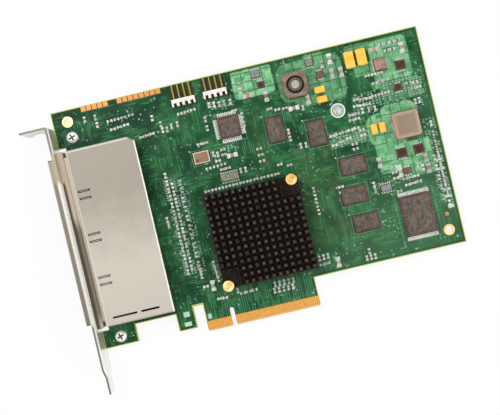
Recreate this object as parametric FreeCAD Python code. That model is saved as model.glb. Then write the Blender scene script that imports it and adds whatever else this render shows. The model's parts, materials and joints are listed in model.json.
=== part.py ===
import FreeCAD, Part
import math
import os

# Full-height, half-length expansion card with a ganged four-port cage.
# Sizes are in millimetres. Places are measured from the bracket end of the board (x)
# and from the lower edge of its tongue (y). The component face of the board is z = 0.
# The finished part is shifted along x so that the key notch of the tongue is x = 0.

V = FreeCAD.Vector

# Board
BOARD_LENGTH = 167.65
BOARD_TOP = 111.15
BOARD_LOWER = 12.75
BOARD_UNDER_CAGE = 10.7
BOARD_THICKNESS = 1.57
SOLDER_FACE = -BOARD_THICKNESS
TAB_LOW = 2.8
BRACKET_TAB_END = 15.4
HOOK_TAB = (34.1, 42.4)
TONGUE = (46.9, 98.2)
TONGUE_SLOT_TOP = 12.3
TONGUE_CORNER = 0.5
BEVEL_RUN = 1.3
BEVEL_RISE = 0.45
KEY_X = 59.05
KEY_WIDTH = 1.9
KEY_DEPTH = 8.25
CAGE_RECESS = 3.4
CAGE_RECESS_SPAN = (10.5, 95.0)
FREE_HOLES = [(6.8, 105.7), (161.4, 19.7)]
FREE_HOLE_D = 3.2
PLATING = 0.05
HIDDEN_SIDES = 8

# Gilded contacts of the tongue and pads of the upper edge
CONTACT_PITCH = 1.0
CONTACT_WIDTH = 0.7
CONTACT_SPAN = (1.35, 4.4)
CONTACT_GAP_AT_KEY = 3.0
CONTACTS_BEFORE_KEY = 11
CONTACTS_AFTER_KEY = 38
TOP_PAD_PITCH = 2.54
TOP_PAD_WIDTH = 2.15
TOP_PAD_SPAN = (108.6, 110.8)
TOP_PAD_ROWS = [(15.0, 5), (31.6, 8)]

# Bracket, one folded sheet
BRACKET_SHEET = 0.86
BRACKET_INNER = -0.2
BRACKET_OUTER = BRACKET_INNER - BRACKET_SHEET
BRACKET_TOP = 104.1
BRACKET_HEIGHT = 120.02
BRACKET_LOW = BRACKET_TOP - BRACKET_HEIGHT
BRACKET_WIDTH = 18.42
BRACKET_SIDE = (-3.9, BRACKET_WIDTH - 3.9)
BRACKET_TONGUE_WIDTH = 10.19
BRACKET_TONGUE_LENGTH = 7.3
BRACKET_TAPER = 4.0
SCREW_TAB_REACH = 11.43
SCREW_TAB_NOTCH = 4.42
SCREW_TAB_NOTCH_DEPTH = 5.1
SCREW_TAB_NOTCH_X = -6.35
BEND_RADIUS = 0.84
EAR_REACH = 14.0
EAR_WIDTH = 7.6
EAR_RELIEF = 0.8
WINDOW_CLEARANCE = 0.35

# Bracket screws
SCREWS = [(7.4, 98.4), (8.0, 7.0)]
SCREW_HEAD_D = 5.4
SCREW_HEAD_HEIGHT = 1.9
SCREW_SHANK_D = 2.9
SCREW_END = -3.6
SCREW_HOLE_D = 3.3
SCREW_CROWN_D = 3.2
SCREW_RIM = 0.9

# Port cage
PORT_PITCH = 19.3
PORTS = 4
CAGE_MIDDLE = 52.7
CAGE_SHEET = 0.4
CAGE_FRONT = 4.4
CAGE_REAR = 35.3
CAGE_WIDTH = 79.2
CAGE_LOW = CAGE_MIDDLE - CAGE_WIDTH / 2
CAGE_HIGH = CAGE_MIDDLE + CAGE_WIDTH / 2
CAGE_TOP = 10.4
CAGE_BEND = 0.7
CAGE_CORNER = (3.0, 2.2)
TAIL_WIDTH = 1.0
TAIL_END = -2.3
TAIL_CLEARANCE = 0.15
UPPER_TAILS_X = [9.0, 17.0, 25.0, 30.5]
LOWER_TAILS_X = [9.0]
REAR_TAILS_Y = [22.0, 40.0, 65.4, 83.4]
EDGE_SLOTS_X = [(8.2, 19.2), (21.0, 29.2)]
EDGE_SLOT_WIDTH = 0.9
EDGE_SLOT_INSET = 3.0

# Collar, gasket, floor and dividers of the cage
COLLAR_FRONT = -4.0
COLLAR_REAR = 5.6
COLLAR_TOP = CAGE_TOP - CAGE_SHEET
COLLAR_CORNER = 1.0
DIVIDER_WIDTH = 3.5
DIVIDER_SHEET = 0.3
DIVIDER_REAR = 18.0
DIVIDER_TAB_X = (6.9, 10.7)
DIVIDER_SLOT_X = (6.0, 11.5)
DIVIDER_SLOT_WIDTH = 1.0
DIVIDER_HEADROOM = 0.1
GASKET_REAR = 3.2
GASKET_THICKNESS = 0.8
FLOOR_REAR = 15.6

# Receptacles
RECEPTACLE_X = (16.0, 31.0)
RECEPTACLE_WIDTH = 14.4
RECEPTACLE_HEIGHT = 8.6
RECEPTACLE_STEP = (24.0, 6.4)
RECEPTACLE_SLOPE = 1.5
CARD_SLOT_WIDTH = 12.4
CARD_SLOT_HEIGHT = 1.7
CARD_SLOT_DEPTH = 7.0
CARD_SLOT_MIDDLE = 4.8
CARD_SLOT_LEAD = 0.6
PORT_CONTACTS = 12
PORT_CONTACT_PITCH = 0.8
PORT_CONTACT_WIDTH = 0.42
PORT_CONTACT_RISE = 0.4
PORT_CONTACT_LENGTH = 5.6

# Heat sink on the controller package
SINK_X = 79.6
SINK_Y = 38.3
SINK_SIZE = 42.4
SINK_PINS = 14
SINK_PITCH = 3.03
SINK_SLOT = 1.35
SINK_BASE = 2.5
SINK_TOP = 11.6
SINK_CORNER_CLEAR = 8.0
CONTROLLER_SIZE = 35.0
CONTROLLER_SUBSTRATE = 1.2
CONTROLLER_LID_SIZE = 29.0
CONTROLLER_TOP = 2.4
THERMAL_PAD = 0.2
THERMAL_PAD_SIZE = 28.0
SINK_FLOOR = CONTROLLER_TOP + THERMAL_PAD

# Push pins that hold the sink
PUSH_PINS = [(98.0, 57.5), (60.7, 18.5)]
PUSH_PIN_HEAD_D = 5.0
PUSH_PIN_SHAFT_D = 2.4
PUSH_PIN_HOLE_D = 3.0
PUSH_PIN_TOP = 11.8
PUSH_PIN_HEAD = 1.3
PUSH_PIN_BARB_D = 3.5
PUSH_PIN_BARB_Z = SOLDER_FACE
PUSH_PIN_END = -3.6
PUSH_PIN_TAPER = 0.9
SPRING_D = 4.3
SPRING_WIRE = 0.5
SPRING_TURNS = 3
SPRING_RUNS = 8

# Moulded packages: middle x, middle y, length along x, width along y, height
MEMORY_CHIPS = [
    (96.6, 81.0, 7.6, 11.4),
    (114.0, 75.1, 7.6, 11.4),
    (126.5, 57.4, 11.4, 7.6),
    (123.9, 44.4, 11.4, 7.6),
    (126.5, 31.5, 11.4, 7.6),
]
MEMORY_HEIGHT = 1.1
PACKAGE_BEVEL = 0.2
QUAD_CHIP = (76.8, 86.8)
QUAD_BODY = 10.0
QUAD_HEIGHT = 1.5
QUAD_LEADS_PER_SIDE = 11
QUAD_LEAD_PITCH = 0.8
QUAD_LEAD_WIDTH = 0.37
FLASH_CHIP = (149.5, 29.6)
FLASH_BODY = (14.0, 18.4)
FLASH_HEIGHT = 1.1
FLASH_LEADS_PER_END = 28
FLASH_LEAD_PITCH = 0.5
FLASH_LEAD_WIDTH = 0.22
PACKAGE_STANDOFF = 0.1
LEAD_METAL = 0.15
LEAD_REACH = 1.0
SMALL_CHIPS = [
    (148.2, 98.2, 5.4, 5.4, 1.6),
    (157.0, 95.9, 4.5, 4.3, 1.1),
    (153.8, 86.5, 3.4, 3.2, 1.1),
    (148.7, 57.7, 4.6, 4.2, 1.2),
    (156.5, 57.8, 4.6, 4.2, 1.2),
    (149.4, 49.4, 3.2, 3.0, 1.0),
    (94.7, 101.7, 3.2, 3.0, 1.0),
    (121.5, 100.0, 3.6, 3.2, 1.0),
    (93.4, 106.9, 4.2, 3.4, 1.2),
    (117.8, 106.3, 3.4, 3.4, 1.1),
    (138.4, 44.2, 5.0, 3.2, 1.3),
    (71.9, 65.1, 8.4, 3.6, 1.3),
]
OSCILLATOR = (61.6, 76.4)
OSCILLATOR_BASE = (7.0, 5.2, 1.0)
OSCILLATOR_LID = (6.0, 4.2, 0.5)

# Inductors
ROUND_INDUCTOR = (109.5, 97.9)
ROUND_SHIELD_SIZE = 10.8
ROUND_SHIELD_HEIGHT = 4.8
ROUND_SHIELD_BORE = 8.0
ROUND_SHIELD_CORNER = 1.6
ROUND_CORE_D = 6.0
ROUND_CORE_WAIST = 3.0
ROUND_CORE_FLANGE = 1.0
ROUND_WINDING_D = 5.6
SQUARE_INDUCTOR = (153.2, 69.5)
SQUARE_INDUCTOR_SIZE = 11.6
SQUARE_INDUCTOR_HEIGHT = 4.6
SQUARE_INDUCTOR_CORNER = 0.8
SQUARE_INDUCTOR_BEVEL = 0.4
SQUARE_TERMINAL = (0.3, 4.0, 2.2)

# Tantalum capacitors: middle x, middle y, length, width, along y
TANTALUMS = [
    (135.4, 103.1, 7.3, 4.3, True),
    (140.8, 103.2, 7.3, 4.3, True),
    (119.5, 93.4, 4.4, 2.9, False),
    (119.7, 89.0, 4.4, 2.9, False),
    (139.1, 70.7, 4.4, 2.9, True),
    (142.8, 70.7, 4.4, 2.9, True),
]
TANTALUM_HEIGHT = 2.8
TANTALUM_BEVEL = 0.3
TANTALUM_FOOT = 0.1
TANTALUM_TERMINAL = 0.15
TANTALUM_TERMINAL_SHARE = 0.6
TANTALUM_TURN_UNDER = 1.0

# Right-angle pin headers
HEADERS = [(59.6, 102.5), (74.1, 102.7)]
HEADER_PINS = 4
HEADER_PITCH = 2.54
HEADER_BODY = (10.6, 3.2, 2.5)
HEADER_NOTCH = (1.3, 1.5)
HEADER_PIN = 0.64
HEADER_PIN_Z = 1.3
HEADER_TIP_Y = 110.5
HEADER_BEND = -0.8
HEADER_TAIL_END = -2.6

# Chip passives: rows of first x, first y, step x, step y, count, lying along y
SMALL_CHIP_SIZE = (1.7, 0.9, 0.8)
CAPACITOR_ROWS = [
    (60.6, 61.0, 3.2, 0.04, 11, False),
    (43.9, 28.0, 0.0, 3.4, 14, True),
    (164.3, 36.0, 0.0, 4.5, 8, True),
    (62.1, 82.3, 2.6, 0.0, 2, False),
    (68.4, 75.6, 0.0, -2.4, 2, False),
    (99.4, 89.3, 3.4, -0.2, 2, False),
    (141.7, 94.6, 2.9, 0.0, 3, False),
    (142.5, 85.2, 3.0, 0.1, 3, False),
    (136.1, 80.0, 2.8, -0.2, 3, True),
    (143.7, 52.6, 0.0, -2.6, 3, False),
    (148.1, 43.3, 2.6, 0.2, 3, False),
    (25.9, 97.8, 3.1, 0.3, 3, False),
]
RESISTOR_ROWS = [
    (49.3, 30.5, 0.0, 4.2, 8, True),
    (25.3, 101.7, 3.2, 0.1, 3, False),
    (14.5, 105.0, 4.9, -0.2, 2, True),
    (44.1, 98.6, 3.1, -3.6, 2, True),
    (63.5, 70.8, 3.4, 0.2, 3, False),
    (152.7, 103.6, 2.4, 0.0, 2, False),
]
LARGE_CHIP_SIZE = (3.2, 1.6, 1.4)
LARGE_CAPACITORS = [
    (88.1, 98.3, False),
    (127.0, 105.9, True),
    (126.7, 99.3, True),
    (130.8, 99.0, True),
    (113.7, 90.6, True),
    (106.7, 88.2, False),
    (147.1, 105.2, False),
    (159.3, 103.4, True),
    (138.1, 55.8, True),
    (158.5, 53.2, True),
    (158.7, 48.6, True),
    (146.1, 49.6, True),
    (75.2, 74.2, False),
]


def block(x0, y0, z0, x1, y1, z1):
    """Box between two opposite corners."""
    return Part.makeBox(x1 - x0, y1 - y0, z1 - z0, V(x0, y0, z0))


def centred(x, y, z, length, width, height):
    """Box standing on z with its middle at x, y."""
    return Part.makeBox(length, width, height, V(x - length / 2, y - width / 2, z))


def post(x, y, z0, z1, diameter):
    """Upright cylinder."""
    return Part.makeCylinder(diameter / 2, z1 - z0, V(x, y, z0))


def ring_points(x, y, diameter):
    """Corners of a regular polygon drawn round a circle."""
    reach = diameter / 2 / math.cos(math.pi / HIDDEN_SIDES)
    angles = [2 * math.pi * (i + 0.5) / HIDDEN_SIDES for i in range(HIDDEN_SIDES)]
    return [(x + reach * math.cos(a), y + reach * math.sin(a)) for a in angles]


def hidden_post(x, y, z0, z1, diameter):
    """Stand-in with flat sides for a small cylinder that other pieces hide."""
    return prism(ring_points(x, y, diameter), z0, z1)


def face_of(points):
    """Flat face inside a closed polygon."""
    return Part.Face(Part.makePolygon(points + points[:1]))


def prism(points, z0, z1):
    """Polygon in the board's plane, raised from z0 to z1."""
    return face_of([V(x, y, z0) for x, y in points]).extrude(V(0, 0, z1 - z0))


def turned(profile, x, y):
    """Solid of revolution about the upright axis at x, y, from radius and height pairs."""
    face = face_of([V(x + r, y, z) for r, z in profile])
    return face.revolve(V(x, y, 0), V(0, 0, 1), 360)


def edges_where(solid, test):
    """Edges of a solid whose end points all pass a test."""
    return [e for e in solid.Edges if all(test(v.Point) for v in e.Vertexes)]


def near(a, b):
    return abs(a - b) < 1e-6


def package(x, y, z, length, width, height, bevel=PACKAGE_BEVEL):
    """Moulded package with a bevel round its top."""
    body = centred(x, y, z, length, width, height)
    top = edges_where(body, lambda p: near(p.z, z + height))
    return body.makeChamfer(bevel, top)


def board_outline():
    left, right = TONGUE
    low, high = CAGE_RECESS_SPAN
    return [
        (0, low), (0, TAB_LOW), (BRACKET_TAB_END, TAB_LOW), (BRACKET_TAB_END, BOARD_UNDER_CAGE),
        (HOOK_TAB[0], BOARD_UNDER_CAGE), (HOOK_TAB[0], TAB_LOW), (HOOK_TAB[1], TAB_LOW),
        (HOOK_TAB[1], TONGUE_SLOT_TOP), (left, TONGUE_SLOT_TOP), (left, TONGUE_CORNER),
        (left + TONGUE_CORNER, 0), (right - TONGUE_CORNER, 0), (right, TONGUE_CORNER),
        (right, BOARD_LOWER), (BOARD_LENGTH, BOARD_LOWER), (BOARD_LENGTH, BOARD_TOP),
        (0, BOARD_TOP), (0, high), (CAGE_RECESS, high), (CAGE_RECESS, low),
    ]


def key_notch():
    """Round-ended notch that codes the tongue."""
    round_y = KEY_DEPTH - KEY_WIDTH / 2
    slot = block(KEY_X - KEY_WIDTH / 2, -1, SOLDER_FACE - 1, KEY_X + KEY_WIDTH / 2, round_y, 1)
    return slot.fuse(post(KEY_X, round_y, SOLDER_FACE - 1, 1, KEY_WIDTH))


def tongue_bevels():
    """Wedges that thin both faces of the tongue's lower edge."""
    x = TONGUE[0] - 1
    along = V(TONGUE[1] - TONGUE[0] + 2, 0, 0)
    wedges = []
    for skin, inward in ((0, -BEVEL_RISE), (SOLDER_FACE, BEVEL_RISE)):
        corners = [V(x, 0, skin), V(x, BEVEL_RUN, skin), V(x, 0, skin + inward)]
        wedges.append(face_of(corners).extrude(along))
    return wedges


def header_pin_places():
    """Middle x and board hole y of every header pin."""
    first = -(HEADER_PINS - 1) / 2 * HEADER_PITCH
    return [(x + first + i * HEADER_PITCH, y + HEADER_BEND)
            for x, y in HEADERS for i in range(HEADER_PINS)]


def cage_tails():
    """Boxes of the cover's solder tails: x0, y0, x1, y1."""
    half = TAIL_WIDTH / 2
    tails = [(x - half, CAGE_HIGH - CAGE_SHEET, x + half, CAGE_HIGH) for x in UPPER_TAILS_X]
    tails += [(x - half, CAGE_LOW, x + half, CAGE_LOW + CAGE_SHEET) for x in LOWER_TAILS_X]
    tails += [(CAGE_REAR - CAGE_SHEET, y - half, CAGE_REAR, y + half) for y in REAR_TAILS_Y]
    return tails


def filled_holes():
    """Cutters for the holes that screws and push pins pass through."""
    holes = [(x, y, SCREW_HOLE_D) for x, y in SCREWS]
    holes += [(x, y, PUSH_PIN_HOLE_D) for x, y in PUSH_PINS]
    return [hidden_post(x, y, SOLDER_FACE - 1, 1, d) for x, y, d in holes]


def tail_slots():
    """Cutters for the close holes that solder tails and header pins pass through."""
    half = HEADER_PIN / 2
    boxes = cage_tails() + [(x - half, y - half, x + half, y + half) for x, y in header_pin_places()]
    s = TAIL_CLEARANCE
    return [block(x0 - s, y0 - s, SOLDER_FACE - 1, x1 + s, y1 + s, 1) for x0, y0, x1, y1 in boxes]


def circuit_board():
    board = prism(board_outline(), SOLDER_FACE, 0)
    drills = [post(x, y, SOLDER_FACE - 1, 1, FREE_HOLE_D) for x, y in FREE_HOLES]
    return board.cut([key_notch()] + tongue_bevels() + drills + filled_holes() + tail_slots())


def edge_contacts():
    half_gap = CONTACT_GAP_AT_KEY / 2
    places = [KEY_X - half_gap - i * CONTACT_PITCH for i in range(CONTACTS_BEFORE_KEY)]
    places += [KEY_X + half_gap + i * CONTACT_PITCH for i in range(CONTACTS_AFTER_KEY)]
    low, high = CONTACT_SPAN
    strips = []
    for x in places:
        for z in (0, SOLDER_FACE - PLATING):
            strips.append(centred(x, (low + high) / 2, z, CONTACT_WIDTH, high - low, PLATING))
    return strips


def top_edge_pads():
    low, high = TOP_PAD_SPAN
    return [centred(x + i * TOP_PAD_PITCH, (low + high) / 2, 0, TOP_PAD_WIDTH, high - low, PLATING)
            for x, count in TOP_PAD_ROWS for i in range(count)]


def bracket_plate():
    """Upright sheet with its tapered lower tongue."""
    low, high = BRACKET_SIDE
    middle = (low + high) / 2
    tongue = BRACKET_TONGUE_WIDTH / 2
    shoulder = BRACKET_LOW + BRACKET_TONGUE_LENGTH
    sides = [
        (BRACKET_TOP, low), (shoulder + BRACKET_TAPER, low), (shoulder, middle - tongue),
        (BRACKET_LOW, middle - tongue), (BRACKET_LOW, middle + tongue), (shoulder, middle + tongue),
        (shoulder + BRACKET_TAPER, high), (BRACKET_TOP, high),
    ]
    return face_of([V(BRACKET_OUTER, y, z) for y, z in sides]).extrude(V(BRACKET_SHEET, 0, 0))


def screw_tab():
    """Upper end of the sheet, bent outwards, with its open screw notch."""
    low, high = BRACKET_SIDE
    tip = BRACKET_OUTER - SCREW_TAB_REACH
    tab = block(tip, BRACKET_TOP - BRACKET_SHEET, low, BRACKET_INNER, BRACKET_TOP, high)
    x = BRACKET_OUTER + SCREW_TAB_NOTCH_X
    half = SCREW_TAB_NOTCH / 2
    depth = low + SCREW_TAB_NOTCH_DEPTH - half
    y0, y1 = BRACKET_TOP - BRACKET_SHEET - 1, BRACKET_TOP + 1
    notch = block(x - half, y0, low - 1, x + half, y1, depth)
    notch = notch.fuse(Part.makeCylinder(half, y1 - y0, V(x, y0, depth), V(0, 1, 0)))
    return tab.cut(notch)


def ear_edge():
    return SOLDER_FACE - BRACKET_SHEET


def board_ear(y):
    """Lug bent inwards under the board."""
    half = EAR_WIDTH / 2
    return block(BRACKET_OUTER, y - half, ear_edge(), EAR_REACH, y + half, SOLDER_FACE)


def ear_relief(y):
    """Cut in the sheet's edge that frees the lug."""
    half = EAR_WIDTH / 2 + EAR_RELIEF
    return block(BRACKET_OUTER - 1, y - half, BRACKET_SIDE[0] - 1, BRACKET_INNER + 1, y + half, ear_edge())


def port_window():
    low, high = collar_sides()
    gap = WINDOW_CLEARANCE
    window = block(BRACKET_OUTER - 1, low - gap, -gap, BRACKET_INNER + 1, high + gap, COLLAR_TOP + gap)
    corners = [e for e in window.Edges if near(e.Vertexes[0].Y, e.Vertexes[-1].Y)
               and near(e.Vertexes[0].Z, e.Vertexes[-1].Z)]
    return window.makeFillet(COLLAR_CORNER + gap, corners)


def bracket():
    sheet = bracket_plate().cut([ear_relief(y) for _, y in SCREWS])
    sheet = sheet.fuse([screw_tab()] + [board_ear(y) for _, y in SCREWS]).removeSplitter()
    bends = edges_where(sheet, lambda p: near(p.x, BRACKET_INNER) and near(p.y, BRACKET_TOP))
    bends += edges_where(sheet, lambda p: near(p.x, BRACKET_OUTER) and near(p.z, ear_edge())
                         and any(abs(p.y - y) < EAR_WIDTH for _, y in SCREWS))
    sheet = sheet.makeFillet(BEND_RADIUS, bends)
    holes = [hidden_post(x, y, ear_edge() - 1, SOLDER_FACE + 1, SCREW_SHANK_D) for x, y in SCREWS]
    return sheet.cut([port_window()] + holes)


def bracket_screw(x, y):
    """Domed screw seated on the board and threaded into a lug of the bracket."""
    rim, crown = SCREW_HEAD_D / 2, SCREW_CROWN_D / 2
    top = SCREW_HEAD_HEIGHT
    head = turned([(0, 0), (rim, 0), (rim, SCREW_RIM), (crown, top), (0, top)], x, y)
    return head.fuse(hidden_post(x, y, SCREW_END, 0, SCREW_SHANK_D))


def divider_middles():
    return [CAGE_MIDDLE + (i - (PORTS - 2) / 2) * PORT_PITCH for i in range(PORTS - 1)]


def port_middles():
    return [CAGE_MIDDLE + (i - (PORTS - 1) / 2) * PORT_PITCH for i in range(PORTS)]


def divider_walls(y):
    """Inner and outer y of the two walls of one divider."""
    half = DIVIDER_WIDTH / 2
    return [(y - half, y - half + DIVIDER_SHEET), (y + half - DIVIDER_SHEET, y + half)]


def divider_slots(z0, z1):
    """Cutters for the slots that take the dividers' tabs."""
    x0, x1 = DIVIDER_SLOT_X
    spare = (DIVIDER_SLOT_WIDTH - DIVIDER_SHEET) / 2
    return [block(x0, low - spare, z0, x1, high + spare, z1)
            for y in divider_middles() for low, high in divider_walls(y)]


def collar_sides():
    """Outer low and high y of the collar."""
    half = PORTS / 2 * PORT_PITCH - DIVIDER_WIDTH / 2 + CAGE_SHEET
    return CAGE_MIDDLE - half, CAGE_MIDDLE + half


def rounded_bar(x0, x1, low, high, z0, z1, radius):
    """Bar along x with rounded long edges."""
    bar = block(x0, low, z0, x1, high, z1)
    long_edges = [e for e in bar.Edges if near(e.Vertexes[0].Y, e.Vertexes[-1].Y)
                  and near(e.Vertexes[0].Z, e.Vertexes[-1].Z)]
    return bar.makeFillet(radius, long_edges)


def cage_plan():
    """Outline of the cover seen from above, with one corner cut off."""
    cut_x, cut_y = CAGE_CORNER
    corners = [(CAGE_FRONT, CAGE_LOW), (CAGE_REAR, CAGE_LOW), (CAGE_REAR, CAGE_HIGH - cut_y),
               (CAGE_REAR - cut_x, CAGE_HIGH), (CAGE_FRONT, CAGE_HIGH)]
    return face_of([V(x, y, 0) for x, y in corners])


def cage_cover():
    plan = cage_plan()
    shell = plan.extrude(V(0, 0, CAGE_TOP))
    shell = shell.makeFillet(CAGE_BEND, edges_where(shell, lambda p: near(p.z, CAGE_TOP)))
    room = plan.makeOffset2D(-CAGE_SHEET, 2).extrude(V(0, 0, CAGE_TOP - CAGE_SHEET))
    low, high = collar_sides()
    mouth = rounded_bar(CAGE_FRONT - 1, CAGE_FRONT + 2, low, high, -2, COLLAR_TOP, COLLAR_CORNER)
    slot_y = CAGE_LOW + EDGE_SLOT_INSET
    edge_slots = [block(x0, slot_y, CAGE_TOP - 1, x1, slot_y + EDGE_SLOT_WIDTH, CAGE_TOP + 1)
                  for x0, x1 in EDGE_SLOTS_X]
    shell = shell.cut([room, mouth] + edge_slots + divider_slots(CAGE_TOP - 1, CAGE_TOP + 1))
    tails = [block(x0, y0, TAIL_END, x1, y1, CAGE_SHEET) for x0, y0, x1, y1 in cage_tails()]
    return shell.fuse(tails).removeSplitter()


def cage_collar():
    low, high = collar_sides()
    s = CAGE_SHEET
    ring = rounded_bar(COLLAR_FRONT, COLLAR_REAR, low, high, 0, COLLAR_TOP, COLLAR_CORNER)
    x0, x1 = COLLAR_FRONT - 1, COLLAR_REAR + 1
    return ring.cut(rounded_bar(x0, x1, low + s, high - s, s, COLLAR_TOP - s, COLLAR_CORNER - s))


def cage_gasket():
    """Shielding ring that fills the space between the collar and the bracket's window."""
    low, high = collar_sides()
    t = GASKET_THICKNESS
    ring = block(BRACKET_INNER, CAGE_LOW, -t, GASKET_REAR, CAGE_HIGH, COLLAR_TOP + t)
    return ring.cut(block(BRACKET_INNER - 1, low, 0, GASKET_REAR + 1, high, COLLAR_TOP))


def cage_floor():
    s = CAGE_SHEET
    sheet = block(COLLAR_REAR, CAGE_LOW + s, 0, FLOOR_REAR, CAGE_HIGH - s, s)
    return sheet.cut(divider_slots(-1, s + 1))


def cage_divider(y):
    """Folded channel with a round nose, tabbed into the cover and the floor."""
    half = DIVIDER_WIDTH / 2
    nose_x = COLLAR_FRONT + half
    low, high = CAGE_SHEET, COLLAR_TOP - CAGE_SHEET - DIVIDER_HEADROOM
    skins = []
    for inset in (0, DIVIDER_SHEET):
        reach = half - inset
        rear = DIVIDER_REAR + inset
        nose = Part.Arc(V(nose_x, y + reach, low), V(nose_x - reach, y, low), V(nose_x, y - reach, low))
        walls = Part.makePolygon([V(nose_x, y - reach, low), V(rear, y - reach, low),
                                  V(rear, y + reach, low), V(nose_x, y + reach, low)])
        skin = Part.Face(Part.Wire([nose.toShape()] + walls.Edges))
        skins.append(skin.extrude(V(0, 0, high - low)))
    channel = skins[0].cut(skins[1])
    x0, x1 = DIVIDER_TAB_X
    tabs = [block(x0, a, 0, x1, b, CAGE_TOP) for a, b in divider_walls(y)]
    return channel.fuse(tabs).removeSplitter()


def receptacle(y):
    """Stepped insulator with a flared slot for the plug's card edge."""
    x0, x1 = RECEPTACLE_X
    step_x, step_z = RECEPTACLE_STEP
    half = RECEPTACLE_WIDTH / 2
    top = RECEPTACLE_HEIGHT
    side = [(x0, 0), (x1, 0), (x1, step_z), (step_x, step_z), (step_x - RECEPTACLE_SLOPE, top), (x0, top)]
    body = face_of([V(x, y - half, z) for x, z in side]).extrude(V(0, RECEPTACLE_WIDTH, 0))
    slot_half, slot_low = CARD_SLOT_HEIGHT / 2, CARD_SLOT_MIDDLE - CARD_SLOT_HEIGHT / 2
    slot = block(x0 - 1, y - CARD_SLOT_WIDTH / 2, slot_low, x0 + CARD_SLOT_DEPTH,
                 y + CARD_SLOT_WIDTH / 2, slot_low + CARD_SLOT_HEIGHT)
    lead = CARD_SLOT_LEAD
    flare = face_of([V(x0, y - CARD_SLOT_WIDTH / 2, CARD_SLOT_MIDDLE - slot_half - lead),
                     V(x0 + lead, y - CARD_SLOT_WIDTH / 2, CARD_SLOT_MIDDLE - slot_half),
                     V(x0 + lead, y - CARD_SLOT_WIDTH / 2, CARD_SLOT_MIDDLE + slot_half),
                     V(x0, y - CARD_SLOT_WIDTH / 2, CARD_SLOT_MIDDLE + slot_half + lead)])
    return body.cut([slot, flare.extrude(V(0, CARD_SLOT_WIDTH, 0))])


def receptacle_contacts(y):
    """Two rows of sloping beams on the upper and lower walls of the card slot."""
    x1 = RECEPTACLE_X[0] + CARD_SLOT_DEPTH
    x0 = x1 - PORT_CONTACT_LENGTH
    first = y - (PORT_CONTACTS - 1) / 2 * PORT_CONTACT_PITCH
    low = CARD_SLOT_MIDDLE - CARD_SLOT_HEIGHT / 2
    high = CARD_SLOT_MIDDLE + CARD_SLOT_HEIGHT / 2
    beams = []
    for i in range(PORT_CONTACTS):
        side = first + i * PORT_CONTACT_PITCH - PORT_CONTACT_WIDTH / 2
        for wall, tip in ((low, low + PORT_CONTACT_RISE), (high, high - PORT_CONTACT_RISE)):
            corners = [V(x1, side, wall), V(x0, side, wall), V(x0, side, tip)]
            beams.append(face_of(corners).extrude(V(0, PORT_CONTACT_WIDTH, 0)))
    return beams


def controller_chip():
    """Package substrate with its smaller moulded lid."""
    substrate = centred(SINK_X, SINK_Y, 0, CONTROLLER_SIZE, CONTROLLER_SIZE, CONTROLLER_SUBSTRATE)
    lid = package(SINK_X, SINK_Y, CONTROLLER_SUBSTRATE, CONTROLLER_LID_SIZE, CONTROLLER_LID_SIZE,
                  CONTROLLER_TOP - CONTROLLER_SUBSTRATE)
    return substrate.fuse(lid).removeSplitter()


def thermal_pad():
    return centred(SINK_X, SINK_Y, CONTROLLER_TOP, THERMAL_PAD_SIZE, THERMAL_PAD_SIZE, THERMAL_PAD)


def heat_sink():
    """Block cross-cut into pins, with two corners cleared for the push pins."""
    body = centred(SINK_X, SINK_Y, SINK_FLOOR, SINK_SIZE, SINK_SIZE, SINK_TOP - SINK_FLOOR)
    root = SINK_FLOOR + SINK_BASE
    depth = SINK_TOP - root + 1
    cuts = []
    for i in range(SINK_PINS - 1):
        offset = (i - (SINK_PINS - 2) / 2) * SINK_PITCH
        cuts.append(centred(SINK_X + offset, SINK_Y, root, SINK_SLOT, SINK_SIZE + 2, depth))
        cuts.append(centred(SINK_X, SINK_Y + offset, root, SINK_SIZE + 2, SINK_SLOT, depth))
    for x, y in PUSH_PINS:
        corner_x = SINK_X + math.copysign(SINK_SIZE / 2, x - SINK_X)
        corner_y = SINK_Y + math.copysign(SINK_SIZE / 2, y - SINK_Y)
        cuts.append(centred(corner_x, corner_y, root, 2 * SINK_CORNER_CLEAR, 2 * SINK_CORNER_CLEAR, depth))
        cuts.append(hidden_post(x, y, SINK_FLOOR - 1, SINK_TOP, PUSH_PIN_HOLE_D))
    return body.cut(cuts)


def push_pin(x, y):
    """Pin with a round head and a barb that snaps under the board."""
    head = post(x, y, PUSH_PIN_TOP - PUSH_PIN_HEAD, PUSH_PIN_TOP, PUSH_PIN_HEAD_D)
    shaft = hidden_post(x, y, PUSH_PIN_BARB_Z, PUSH_PIN_TOP - PUSH_PIN_HEAD, PUSH_PIN_SHAFT_D)
    barb = hidden_post(x, y, PUSH_PIN_END, PUSH_PIN_BARB_Z, PUSH_PIN_BARB_D)
    barb = barb.makeChamfer(PUSH_PIN_TAPER, edges_where(barb, lambda p: near(p.z, PUSH_PIN_END)))
    return head.fuse([shaft, barb]).removeSplitter()


def push_pin_spring(x, y):
    """Coil of short straight runs between the sink's base and the head of the pin."""
    wire = SPRING_WIRE / 2
    low = SINK_FLOOR + SINK_BASE + wire
    high = PUSH_PIN_TOP - PUSH_PIN_HEAD - wire
    radius = SPRING_D / 2 - wire
    runs = SPRING_TURNS * SPRING_RUNS
    points = []
    for i in range(runs + 1):
        angle = 2 * math.pi * i / SPRING_RUNS
        z = low + (high - low) * i / runs
        points.append(V(x + radius * math.cos(angle), y + radius * math.sin(angle), z))
    corners = [points[0] + V(a, 0, b) for a, b in ((-wire, 0), (0, -wire), (wire, 0), (0, wire))]
    section = Part.makePolygon(corners + corners[:1])
    return Part.makePolygon(points).makePipeShell([section], True, True, 1)


def leaded_package(x, y, length, width, top):
    """Package held clear of the board by its leads."""
    return package(x, y, PACKAGE_STANDOFF, length, width, top - PACKAGE_STANDOFF)


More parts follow.
